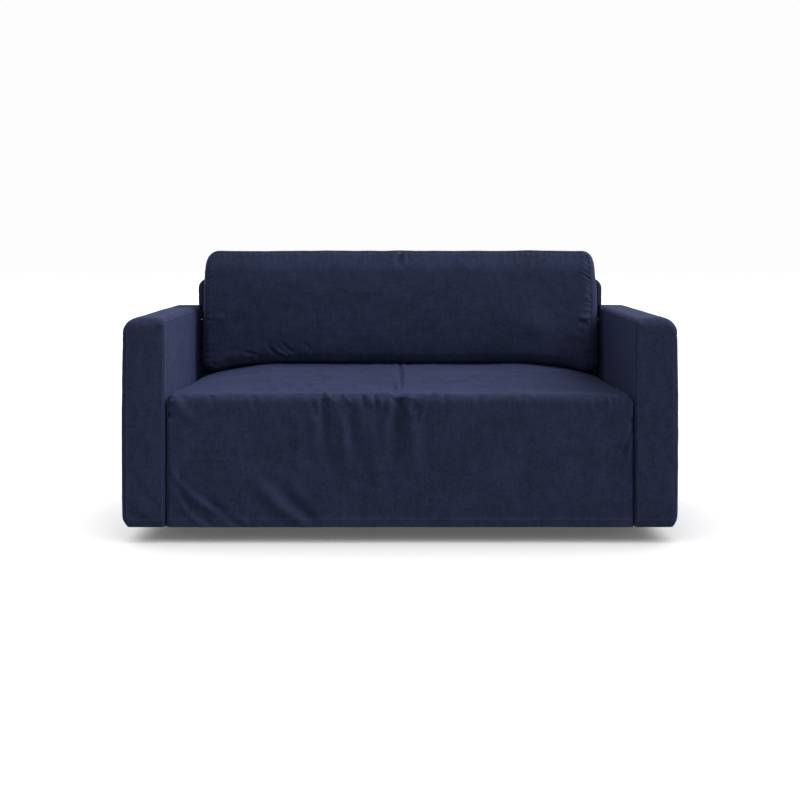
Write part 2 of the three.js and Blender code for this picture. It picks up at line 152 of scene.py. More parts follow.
surround = bpy.data.worlds.new("white_surround")
surround.use_nodes = True
surround.node_tree.nodes.clear()
SURROUND = Sizes(lights=0.74, shows=0.98)  # how strongly it lights the cover, and how pale it shows
seen = add_node(surround.node_tree, "ShaderNodeLightPath")
strength = add_node(
    surround.node_tree,
    "ShaderNodeMix",
    {0: seen.outputs["Is Camera Ray"], 2: SURROUND.lights, 3: SURROUND.shows},
)
surround_light = add_node(
    surround.node_tree,
    "ShaderNodeBackground",
    {"Color": linear("#ffffff"), "Strength": strength.outputs[0]},
)
add_node(surround.node_tree, "ShaderNodeOutputWorld", {"Surface": surround_light.outputs[0]})
bpy.context.scene.world = surround

# ------------------------------------------------------------
# Seat cover. One cut of brushed navy cotton lies over the seat and hangs as an apron to the hem, with a
# flap tucked down behind and a gusset sewn to each side. It is drawn in at the middle of the front
# edge, and drags run down to its lower corners.
SEAT = Sizes(half=0.679, front=-0.395, back=0.304, edge=0.366)
SEAT_HEIGHT = Sizes(front_side=0.382, rear_side=0.366, front_middle=0.385, rear_middle=0.4174)
SEAT_CROWN = Sizes(flat_half=0.38, power=2.2, rise_from=-0.37, rise_to=0.13)
REAR_TUCK = Sizes(bottom=0.3, reaches=0.3194)
CLOTH = 0.002
SEAM = 0.0007
ON_FACE = 1e-6  # a place this near a face of the sharp block lies on it
HEM_EDGE = 0.001  # an edge below this height is the free hem, so it isn't rolled in
# Brushed cotton: dyed navy, its nap raised and then laid, so it is matt, with a soft sheen at a
# grazing view, paler where the nap stands and darker where it is pressed flat. Its threads are finer
# than the size given here, and are drawn as coarse as shows.
NAP = {
    "patch": 0.14, "smudge": 0.03, "fleck": 0.009, "thread": 0.0022,
    "streak_across": 0.007, "streak_along": 0.06,
}


def navy_brushed_cotton():
    """The cover's cloth. Its patterns follow the cut: the map named cut is in metres of flat cloth."""
    cloth, tree = bare_material("navy_brushed_cotton")
    cut = add_node(tree, "ShaderNodeUVMap", uv_map="cut").outputs["UV"]
    patch, smudge, fleck, weave = (
        add_node(tree, "ShaderNodeTexNoise", {"Vector": cut, "Scale": 1 / NAP[size], "Detail": detail})
        for size, detail in (("patch", 3.0), ("smudge", 4.0), ("fleck", 2.0), ("thread", 2.0))
    )
    laid = add_node(
        tree,
        "ShaderNodeMapping",
        {"Vector": cut, "Scale": (1 / NAP["streak_across"], 1 / NAP["streak_along"], 1.0)},
    )
    streak = add_node(tree, "ShaderNodeTexNoise", {"Vector": laid.outputs[0], "Scale": 1.0, "Detail": 3.0})
    broad = add_node(tree, "ShaderNodeMix", {0: 0.5, 2: patch.outputs["Fac"], 3: smudge.outputs["Fac"]})
    fine = add_node(tree, "ShaderNodeMix", {0: 0.35, 2: fleck.outputs["Fac"], 3: streak.outputs["Fac"]})
    nap = add_node(tree, "ShaderNodeMix", {0: 0.5, 2: broad.outputs[0], 3: fine.outputs[0]})
    tone = add_node(tree, "ShaderNodeValToRGB", {"Fac": nap.outputs[0]})
    tone.color_ramp.elements[0].position = 0.4
    tone.color_ramp.elements[0].color = linear("#1d2338")
    tone.color_ramp.elements[1].position = 0.6
    tone.color_ramp.elements[1].color = linear("#292f49")
    rough = add_node(
        tree,
        "ShaderNodeMapRange",
        {"Value": nap.outputs[0], "From Min": 0.3, "From Max": 0.7, "To Min": 0.82, "To Max": 0.96},
    )
    soft = add_node(tree, "ShaderNodeMix", {0: 0.4, 2: weave.outputs["Fac"], 3: fleck.outputs["Fac"]})
    bump = add_node(tree, "ShaderNodeBump", {"Height": soft.outputs[0], "Distance": 0.0012, "Strength": 0.6})
    face = add_node(
        tree,
        "ShaderNodeBsdfPrincipled",
        {
            "Base Color": tone.outputs["Color"],
            "Roughness": rough.outputs[0],
            "Specular IOR Level": 0.12,
            "Sheen Weight": 0.14,
            "Sheen Roughness": 0.42,
            "Sheen Tint": linear("#8592d4"),
            "Normal": bump.outputs["Normal"],
        },
    )
    add_node(tree, "ShaderNodeOutputMaterial", {"Surface": face.outputs[0]})
    return cloth


cloth_finish = navy_brushed_cotton()


def smooth(start, stop, value):
    """0 up to start, 1 from stop on, and a soft step between them."""
    share = np.clip((value - start) / (stop - start), 0, 1)
    return share * share * (3 - 2 * share)


ROLL_TURNS = (45, 34, 23, 12, 0)  # where a rolled edge has its rows, in degrees from its flat side


def near(edge, inward, *radii):
    """Where rolled edges of these radii need their rows, on the inward side of a sharp edge."""
    shares = [1 - math.tan(math.radians(turn)) for turn in ROLL_TURNS]
    return [edge + inward * radius * share for radius in radii for share in shares]


def near_both(half, *radii):
    """The same at the left and the right edge of a block that is centred."""
    return [*near(-half, 1, *radii), *near(half, -1, *radii)]


SEAM_STEPS = (0.0008, 0.0017, 0.0028, 0.0042, 0.006)  # rows beside a seam, for its rolled-in edge
CLOSEST_ROWS = 0.0006


def rows(start, stop, pitch, seams="", through=()):
    """Places from start to stop, close together beside the seams at its low or high end."""
    stops = {start, stop, *(value for value in through if start < value < stop)}
    for step in SEAM_STEPS:
        stops |= {start + step} if "low" in seams else set()
        stops |= {stop - step} if "high" in seams else set()
    kept = [start]
    for value in sorted(stops):
        if value - kept[-1] > CLOSEST_ROWS:
            kept.append(value)
    kept[-1] = stop
    parts = [
        np.linspace(a, b, max(1, math.ceil((b - a) / pitch)), endpoint=False) for a, b in zip(kept, kept[1:])
    ]
    return np.append(np.concatenate(parts), stop)


def roll_edge(p, q, radius):
    """Two faces meet at a sharp edge; p and q are the distances from it. Pulls the place onto a round one."""
    a, b = 1 - p / radius, 1 - q / radius
    bent = (a > 0) & (b > 0)
    reach = np.where(bent, np.hypot(a, b), 1)
    pull = np.maximum(a, b) / reach
    flat_a = np.where(p < q, 1.0, 0.0)
    return (
        np.where(bent, radius * (1 - a * pull), p),
        np.where(bent, radius * (1 - b * pull), q),
        np.where(bent, a / reach, flat_a),
        np.where(bent, b / reach, 1 - flat_a),
    )


def block(left, right, top, front, back, corner, front_edge, back_edge, bottom=-9.0):
    """A block with rolled edges. Radii are given as left, right and a third: lower corner, or top edge."""

    def form(x, y, z):
        is_right, is_upper, is_rear = right - x < x - left, top - z < z - bottom, back - y < y - front
        side_x, side_z = np.where(is_right, 1.0, -1.0), np.where(is_upper, 1.0, -1.0)
        dx, dz = np.where(is_right, right - x, x - left), np.where(is_upper, top - z, z - bottom)
        radius = np.where(is_upper, np.where(is_right, corner[1], corner[0]), corner[2])
        px, pz, ax, az = roll_edge(dx, dz, radius)
        in_corner = (dx < radius) & (dz < radius)
        deep = radius * (1 - np.hypot(1 - px / radius, 1 - pz / radius))
        depth = np.where(in_corner, deep, np.minimum(px, pz))
        out_x, out_z = ax * side_x, az * side_z
        side_edge = np.where(
            is_rear,
            np.where(is_right, back_edge[1], back_edge[0]),
            np.where(is_right, front_edge[1], front_edge[0]),
        )
        top_edge = np.where(is_rear, back_edge[2], front_edge[2])
        p, q, a, b = roll_edge(
            depth, np.where(is_rear, back - y, y - front), side_edge + (top_edge - side_edge) * out_z**2
        )
        shift = depth - p
        point = (
            np.where(is_right, right - px, left + px) + out_x * shift,
            np.where(is_rear, back - q, front + q),
            np.where(is_upper, top - pz, bottom + pz) + out_z * shift,
        )
        return np.stack(point, -1), np.stack((out_x * a, np.where(is_rear, b, -b), out_z * a), -1)

    return form


def laid_on(form, fold, drape=lambda point: point):
    """The outer face of a panel: from places on the sharp block to points and outward directions."""

    def face(x, y, z):
        point, normal = form(x, y, z)
        return drape(point + normal * fold(x, y, z)[..., None]), normal

    return face


def grid(us, vs, place):
    """Places on one face of the sharp block, in rows and columns."""
    u, v = np.meshgrid(us, vs, indexing="ij")
    return np.stack(np.broadcast_arrays(*place(u, v)), -1).astype(float)


SEED_STEP = 7.31  # how far apart the noise of two seeds lies


def uneven(u, v, size_u, size_v, seed):
    """Soft random unevenness between -1 and 1, with patches of these sizes."""
    u, v = np.broadcast_arrays(u, v)
    places = np.stack((u.ravel() / size_u, v.ravel() / size_v, np.full(u.size, seed * SEED_STEP)), -1)
    return np.array([noise.noise(place) for place in places]).reshape(u.shape)


# What each row of a table of creases gives. The last two are the shares of its length that it fades
# over at its start and at its end. A row that leaves them out has the usual ones.
CREASE_COLUMNS = ("start", "middle", "end", "width", "depth", "fade_in", "fade_out")
USUAL_FADES = {"fade_in": 0.3, "fade_out": 0.3}
CREASE_SIDE_SWELL = Sizes(height=0.28, away=1.9, width=0.8)  # cloth pushed up on both sides of a fold
CREASE_STEPS = 50


def creases(table, u, v):
    """Depth of the folds in a table. Each runs from a place on the flat cloth through another to a third."""
    total = np.zeros(np.shape(u))
    t = np.linspace(0, 1, CREASE_STEPS)
    for row in table:
        crease = USUAL_FADES | dict(zip(CREASE_COLUMNS, row))
        start, middle, end = (np.array(crease[place]) for place in ("start", "middle", "end"))
        handle = 2 * middle - (start + end) / 2
        line = np.outer((1 - t) ** 2, start) + np.outer(2 * t * (1 - t), handle) + np.outer(t**2, end)
        reach = 3 * crease["width"]
        low, high = line.min(0) - reach, line.max(0) + reach
        close = (u > low[0]) & (u < high[0]) & (v > low[1]) & (v < high[1])
        if not close.any():
            continue
        away = np.hypot(u[close][:, None] - line[:, 0], v[close][:, None] - line[:, 1])
        along = t[away.argmin(1)]
        off = away.min(1) / crease["width"]
        fade = smooth(0, crease["fade_in"], along) * smooth(0, crease["fade_out"], 1 - along)
        beside = ((off - CREASE_SIDE_SWELL.away) / CREASE_SIDE_SWELL.width) ** 2
        shape = np.exp(-(off**2)) - CREASE_SIDE_SWELL.height * np.exp(-beside)
        total[close] += crease["depth"] * fade * shape
    return total


def add_piece(name, points, faces, finish):
    """Adds a mesh as a piece of the cover, lit with it, and leaves it alone selected."""
    mesh = bpy.data.meshes.new(name)
    mesh.from_pydata(points, [], faces)
    mesh.materials.append(finish)
    piece = bpy.data.objects.new(name, mesh)
    bpy.context.scene.collection.objects.link(piece)
    cover_pieces.objects.link(piece)
    bpy.ops.object.select_all(action="DESELECT")
    piece.select_set(True)
    bpy.context.view_layer.objects.active = piece
    return piece


# A sewn edge is rolled in over this width and this deep. The seam draws the cloth beside it into
# puckers of this depth and size, which fade out over this reach.
SEWN_EDGE = Sizes(width=0.0045, depth=0.0021)
PUCKER = Sizes(depth=0.0008, size=0.011, reach=0.012)


def sew(name, patches, cut, hem_below=None):
    """Joins patches into one panel of cloth, rolls its edges in where it is sewn and thickens it."""
    places, points, normals, quads, count = [], [], [], [], 0
    for face, spots in patches:
        flat = spots.reshape(-1, 3)
        point, normal = face(flat[:, 0], flat[:, 1], flat[:, 2])
        index = np.arange(len(flat)).reshape(spots.shape[:2]) + count
        around = (index[:-1, :-1], index[1:, :-1], index[1:, 1:], index[:-1, 1:])
        quads.append(np.stack(around, -1).reshape(-1, 4))
        places.append(flat)
        points.append(point)
        normals.append(normal)
        count += len(flat)
    places, points, normals, quads = (np.concatenate(part) for part in (places, points, normals, quads))
    _, first, shared = np.unique(np.round(places, 5), axis=0, return_index=True, return_inverse=True)
    places, points, normals = places[first], points[first], normals[first]
    quads = shared.reshape(-1)[quads]
    facing = np.cross(
        points[quads[:, 2]] - points[quads[:, 0]], points[quads[:, 3]] - points[quads[:, 1]]
    )
    wrong = np.einsum("ij,ij->i", facing, normals[quads].mean(1)) < 0
    quads[wrong] = quads[wrong][:, ::-1]

    sides = np.sort(np.stack((quads, np.roll(quads, -1, 1)), -1).reshape(-1, 2), 1)
    lone, times = np.unique(sides, axis=0, return_counts=True)
    border = np.unique(lone[times == 1])
    if hem_below is not None:
        border = border[places[border, 2] > hem_below]
    tree = kdtree.KDTree(len(border))
    for i, j in enumerate(border):
        tree.insert(points[j], i)
    tree.balance()
    away = np.array([tree.find(point)[2] for point in points])
    roll = np.minimum(np.clip(1 - away / SEWN_EDGE.width, 0, 1), 0.999)
    pucker = np.array([noise.noise(point / PUCKER.size) for point in points])
    pucker = pucker * np.exp(-away / PUCKER.reach)
    dip = SEWN_EDGE.depth * (1 - np.sqrt(1 - roll**2)) + PUCKER.depth * pucker
    points = points - normals * dip[:, None]

    panel = add_piece(name, points.tolist(), quads.tolist(), cloth_finish)
    u, v = cut(places[:, 0], places[:, 1], places[:, 2])
    layer = panel.data.uv_layers.new(name="cut")
    flat_places = np.stack((u, v), -1)[quads.reshape(-1)]
    layer.data.foreach_set("uv", flat_places.astype(np.float32).ravel())
    thick = panel.modifiers.new("cloth", "SOLIDIFY")
    thick.thickness = CLOTH
    thick.offset = -1
    bpy.ops.object.modifier_apply(modifier=thick.name)
    bpy.ops.object.shade_smooth_by_angle(angle=math.radians(60))
    return panel


def dress(panel, plain_panel):
    """The panel stays with the one body and shows in place of its plain one."""
    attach(panel, "root")
    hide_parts(plain_panel)


THREAD_TWIST = 0.0012  # metres from one turn of the two strands to the next


def thread_finish():
    """Polyester sewing thread: two strands twisted together, a little paler than the cloth it is sewn in."""
    thread, tree = bare_material("navy_sewing_thread")
    place = add_node(tree, "ShaderNodeTexCoord").outputs["Object"]
    twist = add_node(tree, "ShaderNodeTexNoise", {"Vector": place, "Scale": 1 / THREAD_TWIST, "Detail": 1.0})
    dye = add_node(
        tree,
        "ShaderNodeMix",
        {0: twist.outputs["Fac"], 6: linear("#262d4a"), 7: linear("#3a4269")},
        data_type="RGBA",
    )
    bump = add_node(
        tree, "ShaderNodeBump", {"Height": twist.outputs["Fac"], "Distance": 0.0002, "Strength": 0.6}
    )
    face = add_node(
        tree,
        "ShaderNodeBsdfPrincipled",
        {"Base Color": dye.outputs[2], "Roughness": 0.55, "Normal": bump.outputs["Normal"]},
    )
    add_node(tree, "ShaderNodeOutputMaterial", {"Surface": face.outputs[0]})
    return thread


sewing_thread = thread_finish()
STITCH = Sizes(pitch=0.0046, length=0.0034, thick=0.0009, from_seam=0.005, proud=0.0001)
STITCH_SIDES = 6
STITCH_GIRTHS = ((0.0, 0.35), (0.25, 1.0), (0.75, 1.0), (1.0, 0.35))  # share of its length, of its girth


def topstitch(name, lines):
    """Rows of stitches on the outer face of a panel. A line is a face and its places on the block."""
    spots, quads = [], []
    ring = np.linspace(0, 2 * np.pi, STITCH_SIDES, endpoint=False)
    for face, places in lines:
        points, normals = face(*np.array(places, float).T)
        pucker = np.array([noise.noise(point / PUCKER.size) for point in points])
        fade = math.exp(-STITCH.from_seam / PUCKER.reach)
        dip = PUCKER.depth * pucker * fade - STITCH.proud
        points = points - normals * dip[:, None]
        run = np.append(0, np.cumsum(np.linalg.norm(np.diff(points, axis=0), axis=1)))
        for start in np.arange(STITCH.pitch / 2, run[-1] - STITCH.length, STITCH.pitch):
            ends = [
                np.array([np.interp(place, run, points[:, k]) for k in range(3)])
                for place in (start, start + STITCH.length)
            ]
            out = np.array([np.interp(start, run, normals[:, k]) for k in range(3)])
            along = (ends[1] - ends[0]) / np.linalg.norm(ends[1] - ends[0])
            across = np.cross(along, out)
            across, base = across / np.linalg.norm(across), len(spots)
            for share, girth in STITCH_GIRTHS:
                centre = ends[0] + (ends[1] - ends[0]) * share
                for turn in ring:
                    lift = across * math.cos(turn) + np.cross(across, along) * math.sin(turn)
                    spots.append(centre + lift * STITCH.thick / 2 * girth)
            last = base + STITCH_SIDES * (len(STITCH_GIRTHS) - 1)
            for low in range(base, last, STITCH_SIDES):
                for j in range(STITCH_SIDES):
                    a, b = low + j, low + (j + 1) % STITCH_SIDES
                    quads.append((a, b, b + STITCH_SIDES, a + STITCH_SIDES))
            quads.append(tuple(base + j for j in reversed(range(STITCH_SIDES))))
            quads.append(tuple(last + j for j in range(STITCH_SIDES)))
    row = add_piece(name, spots, quads, sewing_thread)
    bpy.ops.object.mode_set(mode="EDIT")
    bpy.ops.mesh.select_all(action="SELECT")
    bpy.ops.mesh.normals_make_consistent(inside=False)
    bpy.ops.object.mode_set(mode="OBJECT")
    bpy.ops.object.shade_smooth_by_angle(angle=math.radians(50))
    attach(row, "root")
    return row


STITCH_LINE_STEP = 0.004


def straight(start, end):
    """Places along a straight line on the sharp block, for a row of stitches."""
    start, end = np.array(start), np.array(end)
    return np.linspace(start, end, max(2, round(np.linalg.norm(end - start) / STITCH_LINE_STEP)))


def seat_height(x, y):
    """Height of the seat above the hem: flat and high in the middle, low beside the arms."""
    rear = smooth(SEAT_CROWN.rise_from, SEAT_CROWN.rise_to, y)
    middle = SEAT_HEIGHT.front_middle + (SEAT_HEIGHT.rear_middle - SEAT_HEIGHT.front_middle) * rear
    side = SEAT_HEIGHT.front_side + (SEAT_HEIGHT.rear_side - SEAT_HEIGHT.front_side) * rear
    out = np.clip((np.abs(x) - SEAT_CROWN.flat_half) / (SEAT.half - SEAT_CROWN.flat_half), 0, 1)
    return middle + (side - middle) * out ** SEAT_CROWN.power


def crown_seat(point):
    """Raises the block's flat top, and what hangs from it, to the seat's height."""
    point = point.copy()
    point[:, 2] *= seat_height(point[:, 0], point[:, 1]) / SEAT.edge
    return point


HEM_BAND = Sizes(height=0.024, raised=0.0004, step=0.0009)


def hem_band(z):
    """The hem is turned up and stitched, so it stands out by one more thickness of thin cloth."""
    return HEM_BAND.raised * smooth(HEM_BAND.height + HEM_BAND.step, HEM_BAND.height, z)


def seat_cut(x, y, z):
    """Across the cloth, and down it from the front edge: below zero on the seat, above it on the apron.

    Each side of the apron is turned back, which carries on the cut past the seat's side.
    """
    behind = y >= SEAT.back - ON_FACE
    on_side = (np.abs(x) > SEAT.half - ON_FACE) & (z < SEAT.edge - ON_FACE)
    run = np.where((y > SEAT.front + ON_FACE) & ~on_side, SEAT.front - y, SEAT.edge - z)
    turned_back = np.where(on_side & ~behind, y - SEAT.front, 0)
    tucked_down = SEAT.front - SEAT.back - (SEAT.edge - z)
    return x + np.sign(x) * turned_back, np.where(behind, tucked_down, run)


# Folds by place on the flat cloth, in metres across and down. A depth below zero is a ridge.
SEAT_CREASES = [
    # the tuck along the middle of the seat, between two fine ridges that spread at the front edge
    ((0.001, -0.57), (0.004, -0.3), (0.002, 0.0), 0.006, 0.005, 0.02, 0.1),
    ((-0.012, -0.58), (-0.011, -0.25), (0.014, 0.016), 0.006, -0.0035, 0.02, 0.1),
    ((0.013, -0.58), (0.014, -0.3), (0.026, -0.09), 0.006, -0.003, 0.02, 0.4),
    ((0.034, -0.15), (0.03, -0.06), (0.014, 0.004), 0.009, -0.0045),
    ((-0.02, -0.26), (-0.016, -0.09), (-0.002, 0.01), 0.01, 0.004),
    # the fork below it
    ((0.005, 0.009), (0.0226, 0.047), (0.05, 0.078), 0.004, -0.0055, 0.1, 0.3),
    ((0.075, 0.018), (0.066, 0.05), (0.056, 0.084), 0.005, -0.0045),
    ((0.03, 0.01), (0.04, 0.03), (0.052, 0.052), 0.009, 0.004),
    # the deep fold that falls from it, the ridge on its right and the next hollow
    ((-0.004, 0.0), (-0.008, 0.11), (-0.046, 0.31), 0.017, 0.015, 0.08, 0.6),
    ((0.044, 0.066), (0.04, 0.15), (0.018, 0.3), 0.015, -0.007, 0.3, 0.5),
    ((0.088, 0.06), (0.082, 0.14), (0.066, 0.26), 0.017, 0.0038, 0.3, 0.5),
    ((-0.046, 0.06), (-0.05, 0.13), (-0.07, 0.25), 0.016, -0.005, 0.3, 0.5),
    # upright folds left of the middle
    ((-0.22, 0.004), (-0.216, 0.1), (-0.2, 0.26), 0.012, 0.0095, 0.1, 0.6),
    ((-0.178, 0.04), (-0.165, 0.12), (-0.159, 0.23), 0.012, -0.0058),
    ((-0.144, 0.022), (-0.134, 0.12), (-0.112, 0.23), 0.013, 0.008, 0.35, 0.6),
    ((-0.092, 0.06), (-0.078, 0.15), (-0.072, 0.26), 0.015, -0.0055),
    ((-0.246, 0.05), (-0.25, 0.11), (-0.24, 0.2), 0.014, -0.0045),
    ((-0.33, 0.05), (-0.32, 0.12), (-0.3, 0.19), 0.018, 0.004),
    ((-0.29, 0.09), (-0.3, 0.15), (-0.29, 0.23), 0.018, -0.0035),
    # puckers along the front edge
    ((-0.262, 0.006), (-0.248, 0.036), (-0.244, 0.07), 0.005, 0.005),
    ((-0.24, -0.06), (-0.224, 0.0), (-0.228, 0.036), 0.0042, 0.0036),
    ((-0.226, -0.06), (-0.212, -0.01), (-0.204, 0.016), 0.005, -0.0045),
    ((-0.19, 0.004), (-0.184, 0.036), (-0.178, 0.07), 0.005, -0.004),
    ((-0.168, -0.03), (-0.156, 0.008), (-0.14, 0.03), 0.0045, -0.0055),
    ((-0.16, 0.01), (-0.146, 0.036), (-0.126, 0.062), 0.0045, 0.0036),
    ((-0.134, 0.0), (-0.124, 0.03), (-0.118, 0.062), 0.0045, -0.0035),
    ((-0.112, -0.03), (-0.106, 0.016), (-0.09, 0.048), 0.005, 0.006),
    ((-0.1, -0.02), (-0.09, 0.01), (-0.082, 0.04), 0.005, -0.0035),
    ((-0.075, -0.03), (-0.071, 0.014), (-0.062, 0.044), 0.0048, 0.0055),
    ((-0.058, 0.0), (-0.056, 0.026), (-0.052, 0.05), 0.005, -0.0035),
    ((-0.042, 0.0), (-0.042, 0.03), (-0.046, 0.06), 0.006, 0.0045),
    ((0.098, -0.05), (0.104, -0.02), (0.112, 0.006), 0.007, -0.0035),
    ((0.124, -0.03), (0.128, 0.0), (0.126, 0.03), 0.006, 0.0025),
    ((0.226, -0.02), (0.23, 0.01), (0.226, 0.036), 0.008, 0.002),
    ((0.336, -0.02), (0.34, 0.008), (0.336, 0.03), 0.008, -0.002),
    ((-0.56, -0.02), (-0.548, 0.006), (-0.542, 0.03), 0.006, 0.0035),
    ((-0.43, -0.01), (-0.424, 0.02), (-0.42, 0.046), 0.007, 0.0025),
    # drags on the seat that point at the puckers
    ((-0.33, -0.24), (-0.29, -0.11), (-0.236, -0.01), 0.01, -0.004),
    ((-0.3, -0.26), (-0.262, -0.12), (-0.22, -0.02), 0.011, 0.0035),
    ((-0.45, -0.27), (-0.41, -0.12), (-0.372, -0.01), 0.012, -0.003),
    ((-0.4, -0.27), (-0.366, -0.12), (-0.334, -0.01), 0.012, -0.003),
    ((-0.15, -0.2), (-0.13, -0.1), (-0.112, -0.02), 0.012, 0.003),
    ((-0.07, -0.24), (-0.064, -0.12), (-0.07, -0.02), 0.012, 0.0025),
    # drags from the left edge down to the hem
    ((-0.664, 0.165), (-0.618, 0.268), (-0.45, 0.358), 0.0085, -0.005, 0.3, 0.15),
    ((-0.65, 0.2), (-0.612, 0.29), (-0.52, 0.35), 0.011, 0.0045),
    ((-0.642, 0.28), (-0.616, 0.322), (-0.582, 0.356), 0.006, -0.0035, 0.3, 0.1),
    ((-0.632, 0.276), (-0.592, 0.326), (-0.54, 0.362), 0.01, 0.0055, 0.3, 0.1),
    ((-0.576, 0.27), (-0.52, 0.32), (-0.45, 0.362), 0.011, 0.006, 0.4, 0.1),
    ((-0.53, 0.304), (-0.486, 0.334), (-0.436, 0.362), 0.008, -0.0035, 0.3, 0.1),
    ((-0.429, 0.204), (-0.377, 0.286), (-0.282, 0.35), 0.016, -0.0065, 0.5, 0.1),
    ((-0.363, 0.21), (-0.325, 0.28), (-0.23, 0.35), 0.016, 0.0062, 0.5, 0.1),
    ((-0.3, 0.26), (-0.262, 0.316), (-0.216, 0.352), 0.012, -0.003),
    ((-0.1, 0.28), (-0.116, 0.318), (-0.106, 0.356), 0.012, 0.003),
    # drags at the right, faint and broad
    ((0.628, 0.05), (0.556, 0.16), (0.446, 0.285), 0.024, 0.006, 0.3, 0.4),
    ((0.61, 0.13), (0.52, 0.234), (0.4, 0.345), 0.024, -0.005, 0.3, 0.2),
    ((0.676, 0.072), (0.654, 0.118), (0.622, 0.172), 0.006, -0.004),
    ((0.676, 0.096), (0.656, 0.14), (0.636, 0.176), 0.007, 0.0035),
    ((0.672, 0.118), (0.662, 0.16), (0.648, 0.216), 0.006, -0.0035),
    ((0.674, 0.27), (0.662, 0.29), (0.64, 0.306), 0.005, -0.003),
    ((0.412, 0.334), (0.402, 0.345), (0.386, 0.358), 0.0045, -0.003, 0.3, 0.1),
    # the corners beside the arms
    ((-0.668, -0.03), (-0.64, 0.03), (-0.57, 0.1), 0.013, -0.0055, 0.2, 0.5),
    ((-0.676, 0.006), (-0.668, 0.014), (-0.654, 0.02), 0.005, -0.005),
    ((-0.678, 0.05), (-0.67, 0.058), (-0.652, 0.066), 0.009, 0.006, 0.02, 0.3),
    ((0.676, -0.04), (0.652, -0.004), (0.634, 0.03), 0.006, -0.0055),
    ((0.66, -0.03), (0.644, 0.004), (0.626, 0.04), 0.007, 0.0045),
    ((0.6, -0.03), (0.602, 0.004), (0.612, 0.03), 0.006, -0.0035),
    ((0.61, -0.02), (0.616, 0.014), (0.622, 0.04), 0.006, 0.0035),
    ((0.678, 0.02), (0.67, 0.05), (0.658, 0.066), 0.008, -0.004, 0.02, 0.3),
    ((0.56, 0.0), (0.566, 0.02), (0.57, 0.044), 0.008, 0.0025),
]


# The cloth lies closer beside its sewn sides: its looseness there, what it gains inwards, and over what.
SEAT_LOOSE = Sizes(at_side=0.35, gained=0.65, over=0.03, flap_over=0.05)


def seat_fold(x, y, z):
    """How far the cloth stands out from the block: folds, looseness, the flap's lean and the hem."""
    u, v = seat_cut(x, y, z)
    sink = creases(SEAT_CREASES, u, v)
    wave = 0.0021 * uneven(u, v, 0.11, 0.2, 1) + 0.0011 * uneven(u, v, 0.045, 0.085, 2)
    crumple = 0.0005 * uneven(u, v, 0.017, 0.03, 3)
    on_seat = smooth(0.02, -0.05, v)
    rolled = 0.0016 * on_seat * uneven(u, v, 0.30, 0.05, 4)
    flap = np.where(y >= SEAT.back - ON_FACE, (SEAT.edge - z) / (SEAT.edge - REAR_TUCK.bottom), 0)
    inside = smooth(SEAT.half, SEAT.half - SEAT_LOOSE.flap_over, np.abs(x))
    lean = (REAR_TUCK.reaches - SEAT.back) * flap**2 * inside
    loose = smooth(0, SEAT_LOOSE.over, SEAT.half - np.abs(x))
    loose = SEAT_LOOSE.at_side + SEAT_LOOSE.gained * loose
    loose_cloth = (wave + crumple + rolled) * loose * (1 - np.clip(flap, 0, 1))
    band = np.where(y <= SEAT.front + ON_FACE, hem_band(z), 0)
    return lean - sink + loose_cloth + band


# Radii of the rolled edges, as block takes them.
SEAT_ROLLS = {"corner": (0.022,) * 3, "front_edge": (0.016, 0.016, 0.026), "back_edge": (0.015,) * 3}
side_roll, front_side_roll, front_roll = SEAT_ROLLS["corner"][0], *SEAT_ROLLS["front_edge"][1:]
back_roll = SEAT_ROLLS["back_edge"][0]
seat_block = block(-SEAT.half, SEAT.half, SEAT.edge, SEAT.front, SEAT.back, **SEAT_ROLLS)
seat_face = laid_on(seat_block, seat_fold, crown_seat)
SEAT_ROWS = Sizes(across=0.0068, down=0.0068, along=0.0075, flap=0.011, side_hem=0.006)
SIDE_HEM = Sizes(turned_back=0.028, top=0.294)
seat_columns = rows(
    -SEAT.half, SEAT.half, SEAT_ROWS.across, "low high",
    near_both(SEAT.half, side_roll, front_side_roll),
)
seat_run = rows(
    SEAT.front, SEAT.back, SEAT_ROWS.along,
    through=[*near(SEAT.front, 1, front_roll), *near(SEAT.back, -1, back_roll)],
)
hem_rows = [HEM_BAND.height, HEM_BAND.height + HEM_BAND.step]
apron_rows = rows(0, SEAT.edge, SEAT_ROWS.down, "low", [*hem_rows, *near(SEAT.edge, -1, front_roll)])
flap_rows = rows(REAR_TUCK.bottom, SEAT.edge, SEAT_ROWS.flap, through=near(SEAT.edge, -1, back_roll))
side_hem = rows(
    SEAT.front, SEAT.front + SIDE_HEM.turned_back, SEAT_ROWS.side_hem,
    through=near(SEAT.front, 1, front_side_roll),
)
side_hem_rows = apron_rows[apron_rows < SIDE_HEM.top]
seat_cover = sew(
    "seat_cover_cloth",
    [
        (seat_face, grid(seat_columns, seat_run, lambda x, y: (x, y, SEAT.edge))),
        (seat_face, grid(seat_columns, apron_rows, lambda x, z: (x, SEAT.front, z))),
        (seat_face, grid(seat_columns, flap_rows, lambda x, z: (x, SEAT.back, z))),
        (seat_face, grid(side_hem, side_hem_rows, lambda y, z: (-SEAT.half, y, z))),
        (seat_face, grid(side_hem, side_hem_rows, lambda y, z: (SEAT.half, y, z))),
    ],
    seat_cut,
    hem_below=HEM_EDGE,
)
dress(seat_cover, "seat_cover")
HEM_STITCH = Sizes(below_fold=0.002, from_side=0.006)
hem_line = HEM_BAND.height - HEM_STITCH.below_fold
hem_line_end = SEAT.half - HEM_STITCH.from_side
hem_stitch_ends = [(x, SEAT.front, hem_line) for x in (-hem_line_end, hem_line_end)]
seat_stitches = topstitch("apron_hem_stitches", [(seat_face, straight(*hem_stitch_ends))])

